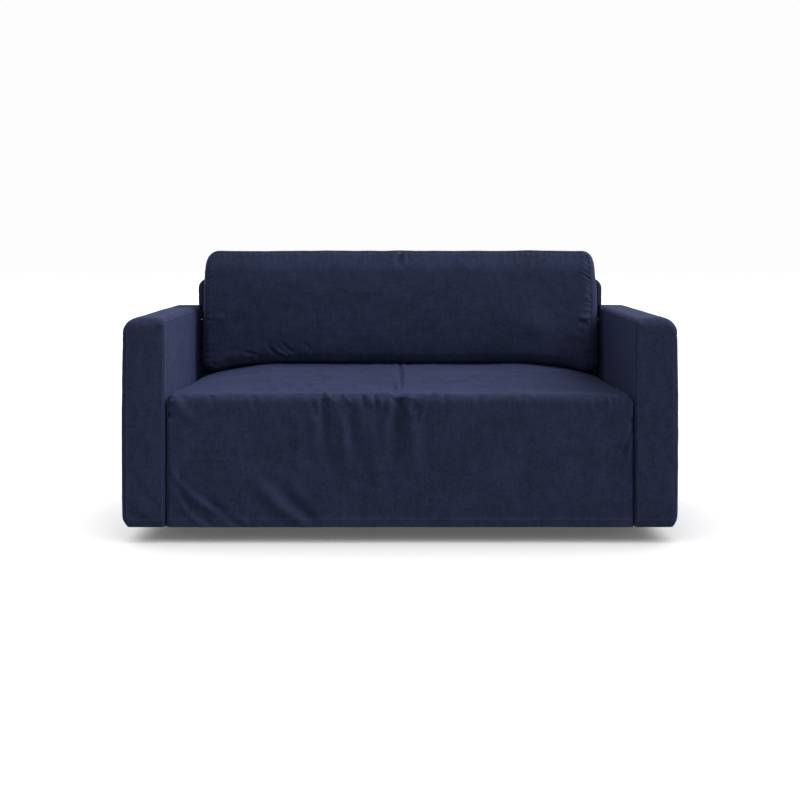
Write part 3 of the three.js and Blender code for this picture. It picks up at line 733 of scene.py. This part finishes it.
# ------------------------------------------------------------
# Seat gussets. A narrow strip of the same cloth is sewn to each side edge of the seat cover and tucked
# down between the seat and the arm, where it meets the lower edge of the arm's inner panel.
GUSSET_BOTTOM = 0.296
ARM_INNER = 0.6826
GUSSET = Sizes(clear=0.0006, lean_from=0.002, lean_to=0.03, pitch_along=0.012, pitch_down=0.008)

for side, side_name in ((-1, "left"), (1, "right")):

    def gusset_lean(x, y, z):
        """The strip leans out to the arm's inner panel on its way down."""
        low_share = (SEAT.edge - z) / (SEAT.edge - GUSSET_BOTTOM)
        behind_apron = smooth(SEAT.front + GUSSET.lean_from, SEAT.front + GUSSET.lean_to, y)
        lean = (ARM_INNER - GUSSET.clear - SEAT.half) * low_share**2 * behind_apron
        return lean + 0.0006 * uneven(y, z, 0.05, 0.03, 9)

    gusset_face = laid_on(seat_block, gusset_lean, crown_seat)
    gusset_run = rows(
        SEAT.front + SEAM / 2, SEAT.back - 2 * SEAM, GUSSET.pitch_along, "low",
        [*near(SEAT.front, 1, front_side_roll), *near(SEAT.back, -1, back_roll)],
    )
    gusset_rows = rows(
        GUSSET_BOTTOM, SEAT.edge - SEAM / 2, GUSSET.pitch_down, "high", near(SEAT.edge, -1, side_roll)
    )
    gusset = sew(
        f"seat_gusset_{side_name}_cloth",
        [(gusset_face, grid(gusset_run, gusset_rows, lambda y, z, side=side: (side * SEAT.half, y, z)))],
        lambda x, y, z: (y, z),
    )
    dress(gusset, f"seat_gusset_{side_name}")

# ------------------------------------------------------------
# Arms. Each is boxed by one band that runs up the front, over the padded top and down the rear, sewn
# between a plain outer panel and an inner panel that is tucked in beside the seat. The outer and
# inner seams are topstitched, and the weight of the cloth draws the hem in under the arm.
COVER = Sizes(half=0.805, front=-0.4, back=0.4)
ARM = Sizes(
    top=0.607, inner_seam=0.59, outer_seam=0.555, front_seam_in=0.009, bulge=0.003, inner_strip=0.09
)
# A seam allowance is turned in under its neighbour over this width, and steps down across the seam.
ALLOWANCE = Sizes(width=0.004, under=0.0028, step_from=0.0012, step_to=0.0006)
ARM_WIDTH = COVER.half - ARM_INNER
ARM_REAR = 0.322
BACK_RETURN = 0.009
HEM = Sizes(height=0.035, left=0.014, right=0.012, ends=0.006)
ARM_ROLLS = {
    "corner": (0.022, 0.044, 0.044), "front_edge": (0.008, 0.012, 0.030), "back_edge": (0.012, 0.012, 0.045)
}


def mirrored(form):
    """The same block at the other side of the cover."""

    def other(x, y, z):
        point, normal = form(-x, y, z)
        flip = np.array((-1.0, 1.0, 1.0))
        return point * flip, normal * flip

    return other


def draw_hem_in(point):
    """The hem is drawn in under the cover's outside, more at the left than at the right."""
    point = point.copy()
    x, y, z = point.T
    hem_share = np.clip(1 - z / HEM.height, 0, 1) ** 2
    outside = np.clip((np.abs(x) - ARM_INNER) / ARM_WIDTH, 0, 1)
    reach = np.where(x < 0, HEM.left, HEM.right)
    point[:, 0] = x - np.sign(x) * reach * hem_share * outside
    point[:, 1] = y - np.sign(y) * HEM.ends * hem_share
    return point


# Folds of the arm's front, by place across it from its inner side, and up it from the hem.
ARM_CREASES = [
    ((0.004, 0.05), (0.05, 0.09), (0.09, 0.15), 0.011, 0.002),
    ((0.01, 0.026), (0.062, 0.05), (0.104, 0.096), 0.01, -0.0018),
    ((0.034, 0.01), (0.076, 0.026), (0.112, 0.06), 0.009, 0.0016),
    ((0.006, 0.25), (0.04, 0.3), (0.052, 0.38), 0.014, 0.0012),
    ((0.104, 0.42), (0.086, 0.47), (0.08, 0.54), 0.012, -0.0012),
]


def padding(x, z):
    """The padding of the arm pushes the cloth out a little, most at half its height."""
    outside = smooth(0, ARM_WIDTH / 2, np.abs(x) - ARM_INNER)
    return ARM.bulge * np.sin(np.pi * np.clip(z / ARM.outer_seam, 0, 1)) * outside


def arm_swell(x, y, z):
    """The cloth over the padding is never quite even."""
    soft = 0.0012 * uneven(x + 0.5 * y, z, 0.10, 0.22, 11)
    soft = soft + 0.0006 * uneven(x + y, z - 0.4 * y, 0.035, 0.05, 12)
    small = 0.0003 * uneven(x + y, z, 0.014, 0.02, 13)
    drag = np.where(y <= COVER.front + ON_FACE, creases(ARM_CREASES, np.abs(x) - ARM_INNER, z), 0)
    return padding(x, z) + soft + small - drag + hem_band(z)


def past_seam(seam, beyond, value):
    """0 on the panel and 1 on its allowance, which lies beyond the seam upwards (1) or downwards (-1)."""
    return smooth(seam - beyond * ALLOWANCE.step_from, seam + beyond * ALLOWANCE.step_to, value)


def inner_swell(x, y, z):
    """Above its seam the inner panel's allowance is turned in below the band."""
    return arm_swell(x, y, z) - ALLOWANCE.under * past_seam(ARM.inner_seam, 1, z)


def outer_swell(x, y, z):
    """The outer panel's allowances are turned in below the band, at its top and at its front edge."""
    seam = ARM_INNER + ARM_WIDTH - ARM.front_seam_in
    front = past_seam(seam, -1, np.abs(x)) * (y <= COVER.front + ON_FACE)
    return arm_swell(x, y, z) - ALLOWANCE.under * np.maximum(past_seam(ARM.outer_seam, 1, z), front)


arm_block = block(ARM_INNER, COVER.half, ARM.top, COVER.front, COVER.back, **ARM_ROLLS)
arm_rear_block = block(0, COVER.half, ARM.top, COVER.front, COVER.back, **ARM_ROLLS)
inner_roll, outer_roll = ARM_ROLLS["corner"][:2]
inner_front_roll, outer_front_roll, front_top_roll = ARM_ROLLS["front_edge"]
outer_rear_roll, rear_top_roll = ARM_ROLLS["back_edge"][1:]
ARM_PITCH = Sizes(
    across=0.006, upper=0.005, lower=0.0075, along=0.008, outer=0.009, turned=0.003, tucked=0.008
)
HEM_DRAWN = (0.008, 0.016)  # rows where the hem is drawn in
outside_seam = ARM_WIDTH - ARM.front_seam_in
arm_columns = rows(
    0, ARM_WIDTH, ARM_PITCH.across, "low",
    [*near(0, 1, inner_roll), *near(ARM_WIDTH, -1, outer_roll), outside_seam],
)
band_front_columns = rows(0, outside_seam, ARM_PITCH.across, "low high", near(0, 1, inner_front_roll))
arm_upper = rows(
    ARM.outer_seam, ARM.top, ARM_PITCH.upper, "low",
    [*near(ARM.top, -1, outer_roll, inner_roll), ARM.inner_seam],
)
arm_lower = rows(0, ARM.outer_seam, ARM_PITCH.lower, through=(*HEM_DRAWN, *hem_rows))
arm_run = rows(
    COVER.front, ARM_REAR, ARM_PITCH.along,
    through=near(COVER.front, 1, front_top_roll, outer_front_roll),
)
arm_rear_run = rows(
    ARM_REAR, COVER.back, ARM_PITCH.along,
    through=near(COVER.back, -1, rear_top_roll, outer_rear_roll),
)
inside_rows = rows(ARM.inner_seam, ARM.top, ARM_PITCH.upper, "low")
band_columns = np.unique(
    np.concatenate((band_front_columns, arm_columns[arm_columns > band_front_columns[-1]]))
)

STITCH_END = 0.004  # a row of stitches ends this far from the edge of the cloth

for side, side_name in ((-1, "left"), (1, "right")):
    form = arm_block if side > 0 else mirrored(arm_block)
    rear_form = arm_rear_block if side > 0 else mirrored(arm_rear_block)
    face = laid_on(form, arm_swell, draw_hem_in)
    rear_face = laid_on(rear_form, arm_swell, draw_hem_in)

    def on_front(across, z, side=side):
        return side * (ARM_INNER + across), COVER.front, z

    def on_rear(across, z, side=side):
        return side * (ARM_INNER + across), COVER.back, z

    def on_top(across, y, side=side):
        return side * (ARM_INNER + across), y, ARM.top

    def on_outside(y, z, side=side):
        return side * COVER.half, y, z

    def on_inside(y, z, side=side):
        return side * ARM_INNER, y, z

    def band_cut(x, y, z):
        """Across the band, and along it from the hem at the front. Its narrow returns widen it."""
        across = np.abs(x) - ARM_INNER
        lowered = np.where((y > COVER.front + ON_FACE) & (y < COVER.back - ON_FACE), ARM.top - z, 0)
        across = across + lowered * np.where(across > ARM_WIDTH / 2, 1, -1)
        run = np.where(y <= COVER.front + ON_FACE, z, ARM.top + y - COVER.front)
        return across, np.where(y >= COVER.back - ON_FACE, run + ARM.top - z, run)

    band = sew(
        f"arm_{side_name}_band_cloth",
        [
            (face, grid(band_front_columns, arm_lower, on_front)),
            (face, grid(band_columns, arm_upper, on_front)),
            (face, grid(band_columns, arm_run, on_top)),
            (face, grid(arm_run, inside_rows, on_inside)),
            (face, grid(arm_run, arm_upper, on_outside)),
            (rear_face, grid(band_columns, arm_rear_run, on_top)),
            (rear_face, grid(arm_rear_run, arm_upper, on_outside)),
            (rear_face, grid(band_columns, arm_upper, on_rear)),
        ],
        band_cut,
        hem_below=HEM_EDGE,
    )
    dress(band, f"arm_{side_name}_band")
    front_in, front_out = STITCH.from_seam, outside_seam - STITCH.from_seam
    side_in, side_out = ARM.inner_seam + STITCH.from_seam, ARM.outer_seam + STITCH.from_seam
    first, rolled = COVER.front + STITCH_END, COVER.front + outer_front_roll
    stitch_lines = [
        (on_front(front_in, STITCH_END), on_front(front_in, ARM.top - outer_front_roll)),
        (on_inside(rolled, side_in), on_inside(ARM_REAR - STITCH_END, side_in)),
        (on_front(front_out, STITCH_END), on_front(front_out, ARM.outer_seam)),
        (on_outside(first, side_out), on_outside(ARM_REAR, side_out)),
        (on_front(HEM_STITCH.from_side, hem_line), on_front(outside_seam - STITCH_END, hem_line)),
    ]
    band_stitches = topstitch(
        f"arm_{side_name}_band_stitches", [(face, straight(start, end)) for start, end in stitch_lines]
    )

    def outer_cut(x, y, z):
        return y + np.where(y <= COVER.front + ON_FACE, np.abs(x) - COVER.half, 0), z

    outer_top = [ARM.outer_seam - SEAM, ARM.outer_seam]
    outer_rows = rows(
        0, ARM.outer_seam + ALLOWANCE.width, ARM_PITCH.outer,
        through=(*HEM_DRAWN, *hem_rows, *outer_top),
    )
    return_columns = rows(
        outside_seam - ALLOWANCE.width, ARM_WIDTH, ARM_PITCH.turned,
        through=(outside_seam - SEAM, outside_seam, outside_seam + SEAM),
    )
    outer_face, outer_rear_face = (
        laid_on(block_form, outer_swell, draw_hem_in) for block_form in (form, rear_form)
    )
    outer_edge = COVER.back - BACK_RETURN - SEAM
    outer_run = rows(
        COVER.front, outer_edge, ARM_PITCH.outer, "high", near(COVER.front, 1, outer_front_roll)
    )
    outer_fore = outer_run[outer_run <= ARM_REAR]
    outer_aft = outer_run[outer_run >= outer_fore[-1]]
    outer = sew(
        f"arm_{side_name}_outer_cloth",
        [
            (outer_face, grid(return_columns, outer_rows, on_front)),
            (outer_face, grid(outer_fore, outer_rows, on_outside)),
            (outer_rear_face, grid(outer_aft, outer_rows, on_outside)),
        ],
        outer_cut,
        hem_below=HEM_EDGE,
    )
    dress(outer, f"arm_{side_name}_outer")
    outer_stitches = topstitch(
        f"arm_{side_name}_outer_stitches",
        [(face, straight(on_outside(first, hem_line), on_outside(outer_edge - STITCH_END, hem_line)))],
    )

    strip_edge = COVER.front + ARM.inner_strip
    strip_run = rows(
        COVER.front + SEAM / 2, strip_edge, ARM_PITCH.along, "low",
        near(COVER.front, 1, inner_front_roll),
    )
    inner_run = np.append(strip_run[:-1], rows(strip_edge, ARM_REAR, ARM_PITCH.along, "high"))
    tucked_rows = rows(
        GUSSET_BOTTOM, ARM.inner_seam + ALLOWANCE.width, ARM_PITCH.tucked,
        through=[*near(ARM.top, -1, inner_roll), ARM.inner_seam - SEAM, ARM.inner_seam],
    )
    strip_rows = rows(0, GUSSET_BOTTOM, ARM_PITCH.tucked, through=hem_rows)
    inner_face = laid_on(form, inner_swell, draw_hem_in)
    inner = sew(
        f"arm_{side_name}_inner_cloth",
        [
            (inner_face, grid(strip_run, strip_rows, on_inside)),
            (inner_face, grid(inner_run, tucked_rows, on_inside)),
        ],
        lambda x, y, z: (y, z),
        hem_below=HEM_EDGE,
    )
    dress(inner, f"arm_{side_name}_inner")

# ------------------------------------------------------------
# Back. One outer panel closes the whole rear down to the hem and wraps a little way round its sides. A
# boxing strip runs round the back above the arms, and the inner back is tucked down behind the seat.
FRAME = Sizes(half=0.695, front=0.32, back=0.4, top=0.7, arm_half=0.682)
STEM_TOP = ARM.top + CLOTH
FRAME_ROLLS = {"corner": (0.035,) * 3, "front_edge": (0.012,) * 3, "back_edge": (0.012,) * 3}
BODY_ROLLS = {"corner": (0.012,) * 3, "front_edge": (0.012,) * 3, "back_edge": (0.012,) * 3}


def back_uneven(x, y, z):
    """The cloth over the frame is never quite even."""
    soft = 0.0014 * uneven(x, z, 0.16, 0.26, 21) + 0.0007 * uneven(x - 0.3 * z, z, 0.05, 0.09, 22)
    return soft + 0.0003 * uneven(x + y, z, 0.015, 0.02, 23)


def back_swell(x, y, z):
    return padding(x, z) + back_uneven(x, y, z) + hem_band(z)


frame_block = block(-FRAME.half, FRAME.half, FRAME.top, FRAME.front, FRAME.back, **FRAME_ROLLS)
body_block = block(-COVER.half, COVER.half, FRAME.top, COVER.front, COVER.back, **BODY_ROLLS)
back_low = laid_on(body_block, back_swell, draw_hem_in)
back_high = laid_on(frame_block, back_swell, draw_hem_in)
frame_roll, frame_edge_roll, body_roll = (
    FRAME_ROLLS["corner"][0], FRAME_ROLLS["back_edge"][0], BODY_ROLLS["corner"][0]
)
BACK_PITCH = Sizes(across=0.012, down=0.012, stem=0.008, side=0.007, inner=0.016, turned=0.003)
LAP_HEIGHT = 0.042
stem_near = [*near_both(FRAME.half, frame_roll), -FRAME.arm_half, FRAME.arm_half]
full_columns = rows(
    -COVER.half, COVER.half, BACK_PITCH.across,
    through=[*near_both(COVER.half, body_roll), *stem_near],
)
stem_columns = full_columns[np.abs(full_columns) <= FRAME.arm_half + ON_FACE]
edge_in = FRAME.half - SEAM
crest_columns = rows(-edge_in, edge_in, BACK_PITCH.across, "low high", [*stem_near, *stem_columns])
back_rows = rows(0, ARM.outer_seam - SEAM, BACK_PITCH.down, "high", (*HEM_DRAWN, *hem_rows))
crest_rows = rows(STEM_TOP, FRAME.top - SEAM, BACK_PITCH.stem, "high", near(FRAME.top, -1, frame_roll))
return_run = rows(COVER.back - BACK_RETURN, COVER.back, BACK_PITCH.turned, "low")
stem_rows = rows(ARM.outer_seam - SEAM, STEM_TOP, BACK_PITCH.stem)
lap_rows = stem_rows[stem_rows > ARM.top - LAP_HEIGHT]  # beside the stem, over the arm's rounded end


def on_back(x, z):
    return x, COVER.back, z


def back_cut(x, y, z):
    return x + np.sign(x) * np.where(np.abs(x) >= COVER.half - ON_FACE, COVER.back - y, 0), z


back_outer = sew(
    "back_outer_cloth",
    [
        (back_low, grid(full_columns, back_rows, on_back)),
        (back_low, grid(return_run, back_rows, lambda y, z: (-COVER.half, y, z))),
        (back_low, grid(return_run, back_rows, lambda y, z: (COVER.half, y, z))),
        (back_high, grid(stem_columns, stem_rows, on_back)),
        (back_high, grid(crest_columns[crest_columns <= ON_FACE - FRAME.arm_half], lap_rows, on_back)),
        (back_high, grid(crest_columns[crest_columns >= FRAME.arm_half - ON_FACE], lap_rows, on_back)),
        (back_high, grid(crest_columns, crest_rows, on_back)),
    ],
    back_cut,
    hem_below=HEM_EDGE,
)
dress(back_outer, "back_outer")
back_half = COVER.half - STITCH_END
CREST_STITCH_IN = 0.02
crest_half = edge_in - CREST_STITCH_IN
crest_height = FRAME.top - STITCH.from_seam
back_stitches = topstitch(
    "back_outer_stitches",
    [
        (back_low, straight(on_back(-back_half, hem_line), on_back(back_half, hem_line))),
        (back_high, straight(on_back(-crest_half, crest_height), on_back(crest_half, crest_height))),
    ],
)

frame_run = rows(
    FRAME.front, FRAME.back, BACK_PITCH.side, "low high",
    [*near(FRAME.front, 1, frame_edge_roll), *near(FRAME.back, -1, frame_edge_roll)],
)
frame_face = laid_on(frame_block, back_uneven)
frame_side_top = FRAME.top - frame_roll
BAND_SIDE = Sizes(set_back=0.006, tucked=0.004, rows=9)


def arm_top_at(y):
    """Height of the arm's top beside the back, where it rolls down to the rear."""
    past = np.clip(y - BAND_SIDE.set_back - CLOTH - (COVER.back - rear_top_roll), 0, None)
    return ARM.top - rear_top_roll + np.sqrt(rear_top_roll**2 - past**2) + SEAM


def on_frame_side(side):
    """The side strip's lower part, from where it is tucked in beside the arm up to the rounded top."""

    def place(y, share):
        tucked = arm_top_at(y) - BAND_SIDE.tucked
        return side * FRAME.half, y, tucked + (frame_side_top - tucked) * share

    return place


upper_side_rows = rows(frame_side_top, FRAME.top, BACK_PITCH.side, through=near(FRAME.top, -1, frame_roll))
crest_line = rows(-FRAME.half, FRAME.half, BACK_PITCH.across, through=stem_near)
low_shares = np.linspace(0, 1, BAND_SIDE.rows)
side_patches = []
for side in (-1, 1):

    def upper_side(y, z, side=side):
        return side * FRAME.half, y, z

    side_patches.append((frame_face, grid(frame_run, low_shares, on_frame_side(side))))
    side_patches.append((frame_face, grid(frame_run, upper_side_rows, upper_side)))
back_band = sew(
    "back_band_cloth",
    [*side_patches, (frame_face, grid(crest_line, frame_run, lambda x, y: (x, y, FRAME.top)))],
    lambda x, y, z: (np.sign(x) * (np.abs(x) + FRAME.top - z), y),
)
dress(back_band, "back_band")

inner_columns = crest_columns[np.abs(crest_columns) <= FRAME.arm_half + ON_FACE]
inner_rows = rows(REAR_TUCK.bottom, STEM_TOP, BACK_PITCH.inner)


def on_inner_back(x, z):
    return x, FRAME.front, z


back_inner = sew(
    "back_inner_cloth",
    [
        (frame_face, grid(inner_columns, inner_rows, on_inner_back)),
        (frame_face, grid(crest_columns, crest_rows, on_inner_back)),
    ],
    lambda x, y, z: (x, z),
)
dress(back_inner, "back_inner")

# ------------------------------------------------------------
# Back cushion case. A front and a rear panel are joined by one boxing strip over the top and down both
# sides, and turned under along the opening at the bottom. It is filled, so its front stands out, and
# the cloth is gathered in short puckers where the panels are sewn to the boxing.
CASE = Sizes(half=0.668, front=0.182, back=0.315, bottom=0.418, top=0.789)
# How far the filling swells the front and the boxing, and how the case then leans and settles.
CASE_FILL = Sizes(
    crown=0.024, crown_power=3.4, across_power=4, bulge=0.006, narrower=0.028,
    taper=0.005, taper_from=0.66, raised=0.005, raised_over=0.08, lean=0.07,
    crest=0.014, crest_over=0.06, crest_past=0.01, foot=0.009, foot_over=0.036,
    lifted=0.005, turn_under=0.04, gap=0.0005, side_gap=0.003,
)
# The boxing's swell: its share at the top, what the left and the right side gain below, and over what.
BOXING_SWELL = Sizes(at_top=0.2, left=0.8, right=1.2, over=0.12)
CASE_ROLLS = {"corner": (0.042, 0.038, 0.04), "front_edge": (0.014, 0.04, 0.014), "back_edge": (0.02,) * 3}

# Folds of the case's front, by place across it and height.
CASE_CREASES = [
    # strokes at the lower left, where the case presses on the seat
    ((-0.538, 0.462), (-0.513, 0.456), (-0.474, 0.438), 0.0055, 0.0036),
    ((-0.452, 0.476), (-0.433, 0.456), (-0.408, 0.438), 0.0055, 0.0045),
    ((-0.43, 0.468), (-0.408, 0.452), (-0.376, 0.438), 0.0055, -0.0045),
    ((-0.408, 0.492), (-0.384, 0.468), (-0.356, 0.448), 0.0055, 0.0042),
    ((-0.336, 0.486), (-0.316, 0.474), (-0.296, 0.462), 0.007, 0.0016),
    ((-0.6, 0.47), (-0.57, 0.474), (-0.54, 0.468), 0.009, 0.0018),
    # soft dents and swells of the filling
    ((-0.64, 0.588), (-0.62, 0.584), (-0.6, 0.58), 0.01, -0.0022),
    ((-0.61, 0.56), (-0.56, 0.566), (-0.5, 0.56), 0.018, 0.0012),
    ((0.43, 0.56), (0.47, 0.545), (0.52, 0.535), 0.03, -0.0035),
    # the dip of the top seam at the middle
    ((-0.008, 0.795), (-0.004, 0.77), (-0.008, 0.74), 0.011, 0.006),
    # strokes at the right seam
    ((0.652, 0.588), (0.63, 0.584), (0.612, 0.58), 0.008, -0.0036),
    ((0.65, 0.562), (0.63, 0.568), (0.606, 0.566), 0.0085, 0.003),
    ((0.646, 0.516), (0.62, 0.522), (0.592, 0.518), 0.009, -0.0016),
]
# The puckers along each seam of the case's front: from one to the next, how far in, and how deep.
GATHERS = {
    "side": {"pitch": 0.017, "reach": 0.034, "depth": 0.0044, "seed": 31},
    "top": {"pitch": 0.021, "reach": 0.026, "depth": 0.0016, "seed": 34},
    "low": {"pitch": 0.024, "reach": 0.035, "depth": 0.0016, "seed": 37},
}


def gathers(along, away, pitch, reach, depth, seed, slant=0.0):
    """Short puckers that run in from a seam, uneven in strength, spacing and length."""
    drift = uneven(along, along * 0, 2.6 * pitch, 1, seed)
    strength = np.clip(0.65 + 1.3 * uneven(along, along * 0, 0.07, 1, seed + 1), 0, 1)
    length = reach * (0.75 + 0.9 * uneven(along, along * 0, 0.03, 1, seed + 2))
    turns = (along + slant * away) / pitch + 0.7 * drift
    held = smooth(0, 0.005, away) * np.exp(-((away / length) ** 2))
    return depth * strength * held * np.cos(2 * np.pi * turns)


def case_fold(x, y, z):
    across = np.clip(1 - np.abs(x / CASE.half) ** CASE_FILL.across_power, 0, 1)
    up = (2 * z - CASE.top - CASE.bottom) / (CASE.top - CASE.bottom)
    front = np.abs(y - CASE.front) < ON_FACE
    rear = np.abs(y - CASE.back) < ON_FACE
    under = np.abs(z - CASE.bottom) < ON_FACE
    crown = CASE_FILL.crown * across * np.clip(1 - np.abs(up) ** CASE_FILL.crown_power, 0, 1)
    to_rear = np.clip((y - CASE.front) / (CASE.back - CASE.front), 0, 1)
    gained = np.where(x > 0, BOXING_SWELL.right, BOXING_SWELL.left)
    lowered = smooth(CASE.top, CASE.top - BOXING_SWELL.over, z)
    boxed = CASE_FILL.bulge * np.sin(np.pi * to_rear) * (BOXING_SWELL.at_top + gained * lowered)
    swelled = np.where(front, crown, np.where(rear | under, 0, boxed))
    side_away, top_away = CASE.half - np.abs(x), CASE.top - z
    low_away = z - CASE.bottom
    # The side puckers slant the other way higher up, and are deepest in the upper part of the right side.
    slant = 0.2 - 0.65 * smooth(0.58, 0.68, z)
    side_share = np.where(x > 0, 0.25 + 0.75 * smooth(0.56, 0.61, z), 0.4)
    low_share = smooth(0.2, -0.5, x)  # those at the foot fade out towards the right
    puckers = gathers(z, side_away, **GATHERS["side"], slant=slant) * side_share
    puckers = puckers + gathers(x, top_away, **GATHERS["top"])
    puckers = np.where(front, puckers + gathers(x, low_away, **GATHERS["low"]) * low_share, 0)
    soft = 0.0022 * uneven(x, z, 0.19, 0.13, 41) + 0.0012 * uneven(x - 0.5 * z, z + 0.3 * x, 0.07, 0.055, 42)
    small = np.where(front, 0.00045, 0.0011) * uneven(x + y, z, 0.019, 0.017, 43)
    return swelled + puckers - np.where(front, creases(CASE_CREASES, x, z), 0) + soft + small


def rest_on_seat(point):
    """The case is narrower in front, and its lower part follows the crown of the seat it rests on."""
    point = point.copy()
    forward = (CASE.back - point[:, 1]) / (CASE.back - CASE.front)
    tapered = CASE_FILL.taper * smooth(CASE_FILL.taper_from, CASE.top, point[:, 2])
    point[:, 0] *= 1 - CASE_FILL.narrower * forward - tapered
    gap = CASE_FILL.gap + CASE_FILL.side_gap * (point[:, 0] / CASE.half) ** 2
    gap = gap + CASE_FILL.lifted * np.clip(forward, 0, 1) ** 2
    lowest = seat_height(point[:, 0], CASE.back) + gap
    share = (point[:, 2] - CASE.bottom) / (CASE.top - CASE.bottom)
    point[:, 2] = lowest + (CASE.top - lowest) * share
    point[:, 2] += CASE_FILL.raised * smooth(CASE.top - CASE_FILL.raised_over, CASE.top, point[:, 2])
    leant = CASE_FILL.lean * (share - 0.5) * (CASE.top - lowest)
    crest_from, crest_to = CASE.top - CASE_FILL.crest_over, CASE.top + CASE_FILL.crest_past
    leant = leant + CASE_FILL.crest * smooth(crest_from, crest_to, point[:, 2])
    leant = leant + CASE_FILL.foot * smooth(CASE_FILL.foot_over, 0, point[:, 2] - lowest)
    point[:, 1] += leant * np.clip(forward, 0, 1)
    return point


left_corner, _, lower_corner = CASE_ROLLS["corner"]
front_left, front_right, front_top = CASE_ROLLS["front_edge"]
rear_edge = CASE_ROLLS["back_edge"][0]
case_block = block(
    -CASE.half, CASE.half, CASE.top, CASE.front, CASE.back, bottom=CASE.bottom, **CASE_ROLLS
)
case_face = laid_on(case_block, case_fold, rest_on_seat)
case_edge = CASE.half - SEAM
case_near = [*near(-CASE.half, 1, left_corner, front_left), *near(CASE.half, -1, front_right)]
case_near_z = [*near(CASE.bottom, 1, lower_corner), *near(CASE.top, -1, front_top, left_corner)]
UNDER_ROWS = 7
# Each panel's name, its place, which way is inward, and its pitch across and down. The front is finer,
# for its puckers.
CASE_PANELS = (("front", CASE.front, 1, 0.005, 0.004), ("back", CASE.back, -1, 0.011, 0.011))
seam_x, seam_z = CASE.half - STITCH.from_seam, CASE.top - STITCH.from_seam
stitch_foot = CASE.bottom + 0.02
stitch_corners = ((-seam_x, stitch_foot), (-seam_x, seam_z), (seam_x, seam_z), (seam_x, stitch_foot))
for panel_name, y, inward, pitch_across, pitch_down in CASE_PANELS:
    columns = rows(-case_edge, case_edge, pitch_across, "low high", case_near)
    heights = rows(CASE.bottom, CASE.top - SEAM, pitch_down, "high", case_near_z)
    under = np.linspace(y, y + inward * CASE_FILL.turn_under, UNDER_ROWS)
    panel = sew(
        f"cushion_{panel_name}_cloth",
        [
            (case_face, grid(columns, heights, lambda x, z, y=y: (x, y, z))),
            (case_face, grid(columns, under, lambda x, depth: (x, depth, CASE.bottom))),
        ],
        lambda x, y, z, face=y: (x, z - np.abs(y - face)),
    )
    dress(panel, f"cushion_{panel_name}")
    corners = [(x, y, z) for x, z in stitch_corners]
    panel_stitches = topstitch(
        f"cushion_{panel_name}_stitches",
        [(case_face, straight(start, end)) for start, end in zip(corners, corners[1:])],
    )

BOXING_PITCH = Sizes(deep=0.0055, down=0.0065, across=0.0075)
boxing_run = rows(
    CASE.front + SEAM, CASE.back - SEAM, BOXING_PITCH.deep, "low high",
    [*near(CASE.front, 1, front_right, front_left), *near(CASE.back, -1, rear_edge)],
)
boxing_rows = rows(CASE.bottom + SEAM, CASE.top, BOXING_PITCH.down, through=case_near_z)
boxing_columns = rows(-CASE.half, CASE.half, BOXING_PITCH.across, through=case_near)
boxing = sew(
    "cushion_boxing_cloth",
    [
        (case_face, grid(boxing_run, boxing_rows, lambda y, z: (-CASE.half, y, z))),
        (case_face, grid(boxing_run, boxing_rows, lambda y, z: (CASE.half, y, z))),
        (case_face, grid(boxing_columns, boxing_run, lambda x, y: (x, y, CASE.top))),
    ],
    lambda x, y, z: (np.sign(x) * (np.abs(x) + CASE.top - z), y),
)
dress(boxing, "cushion_boxing")
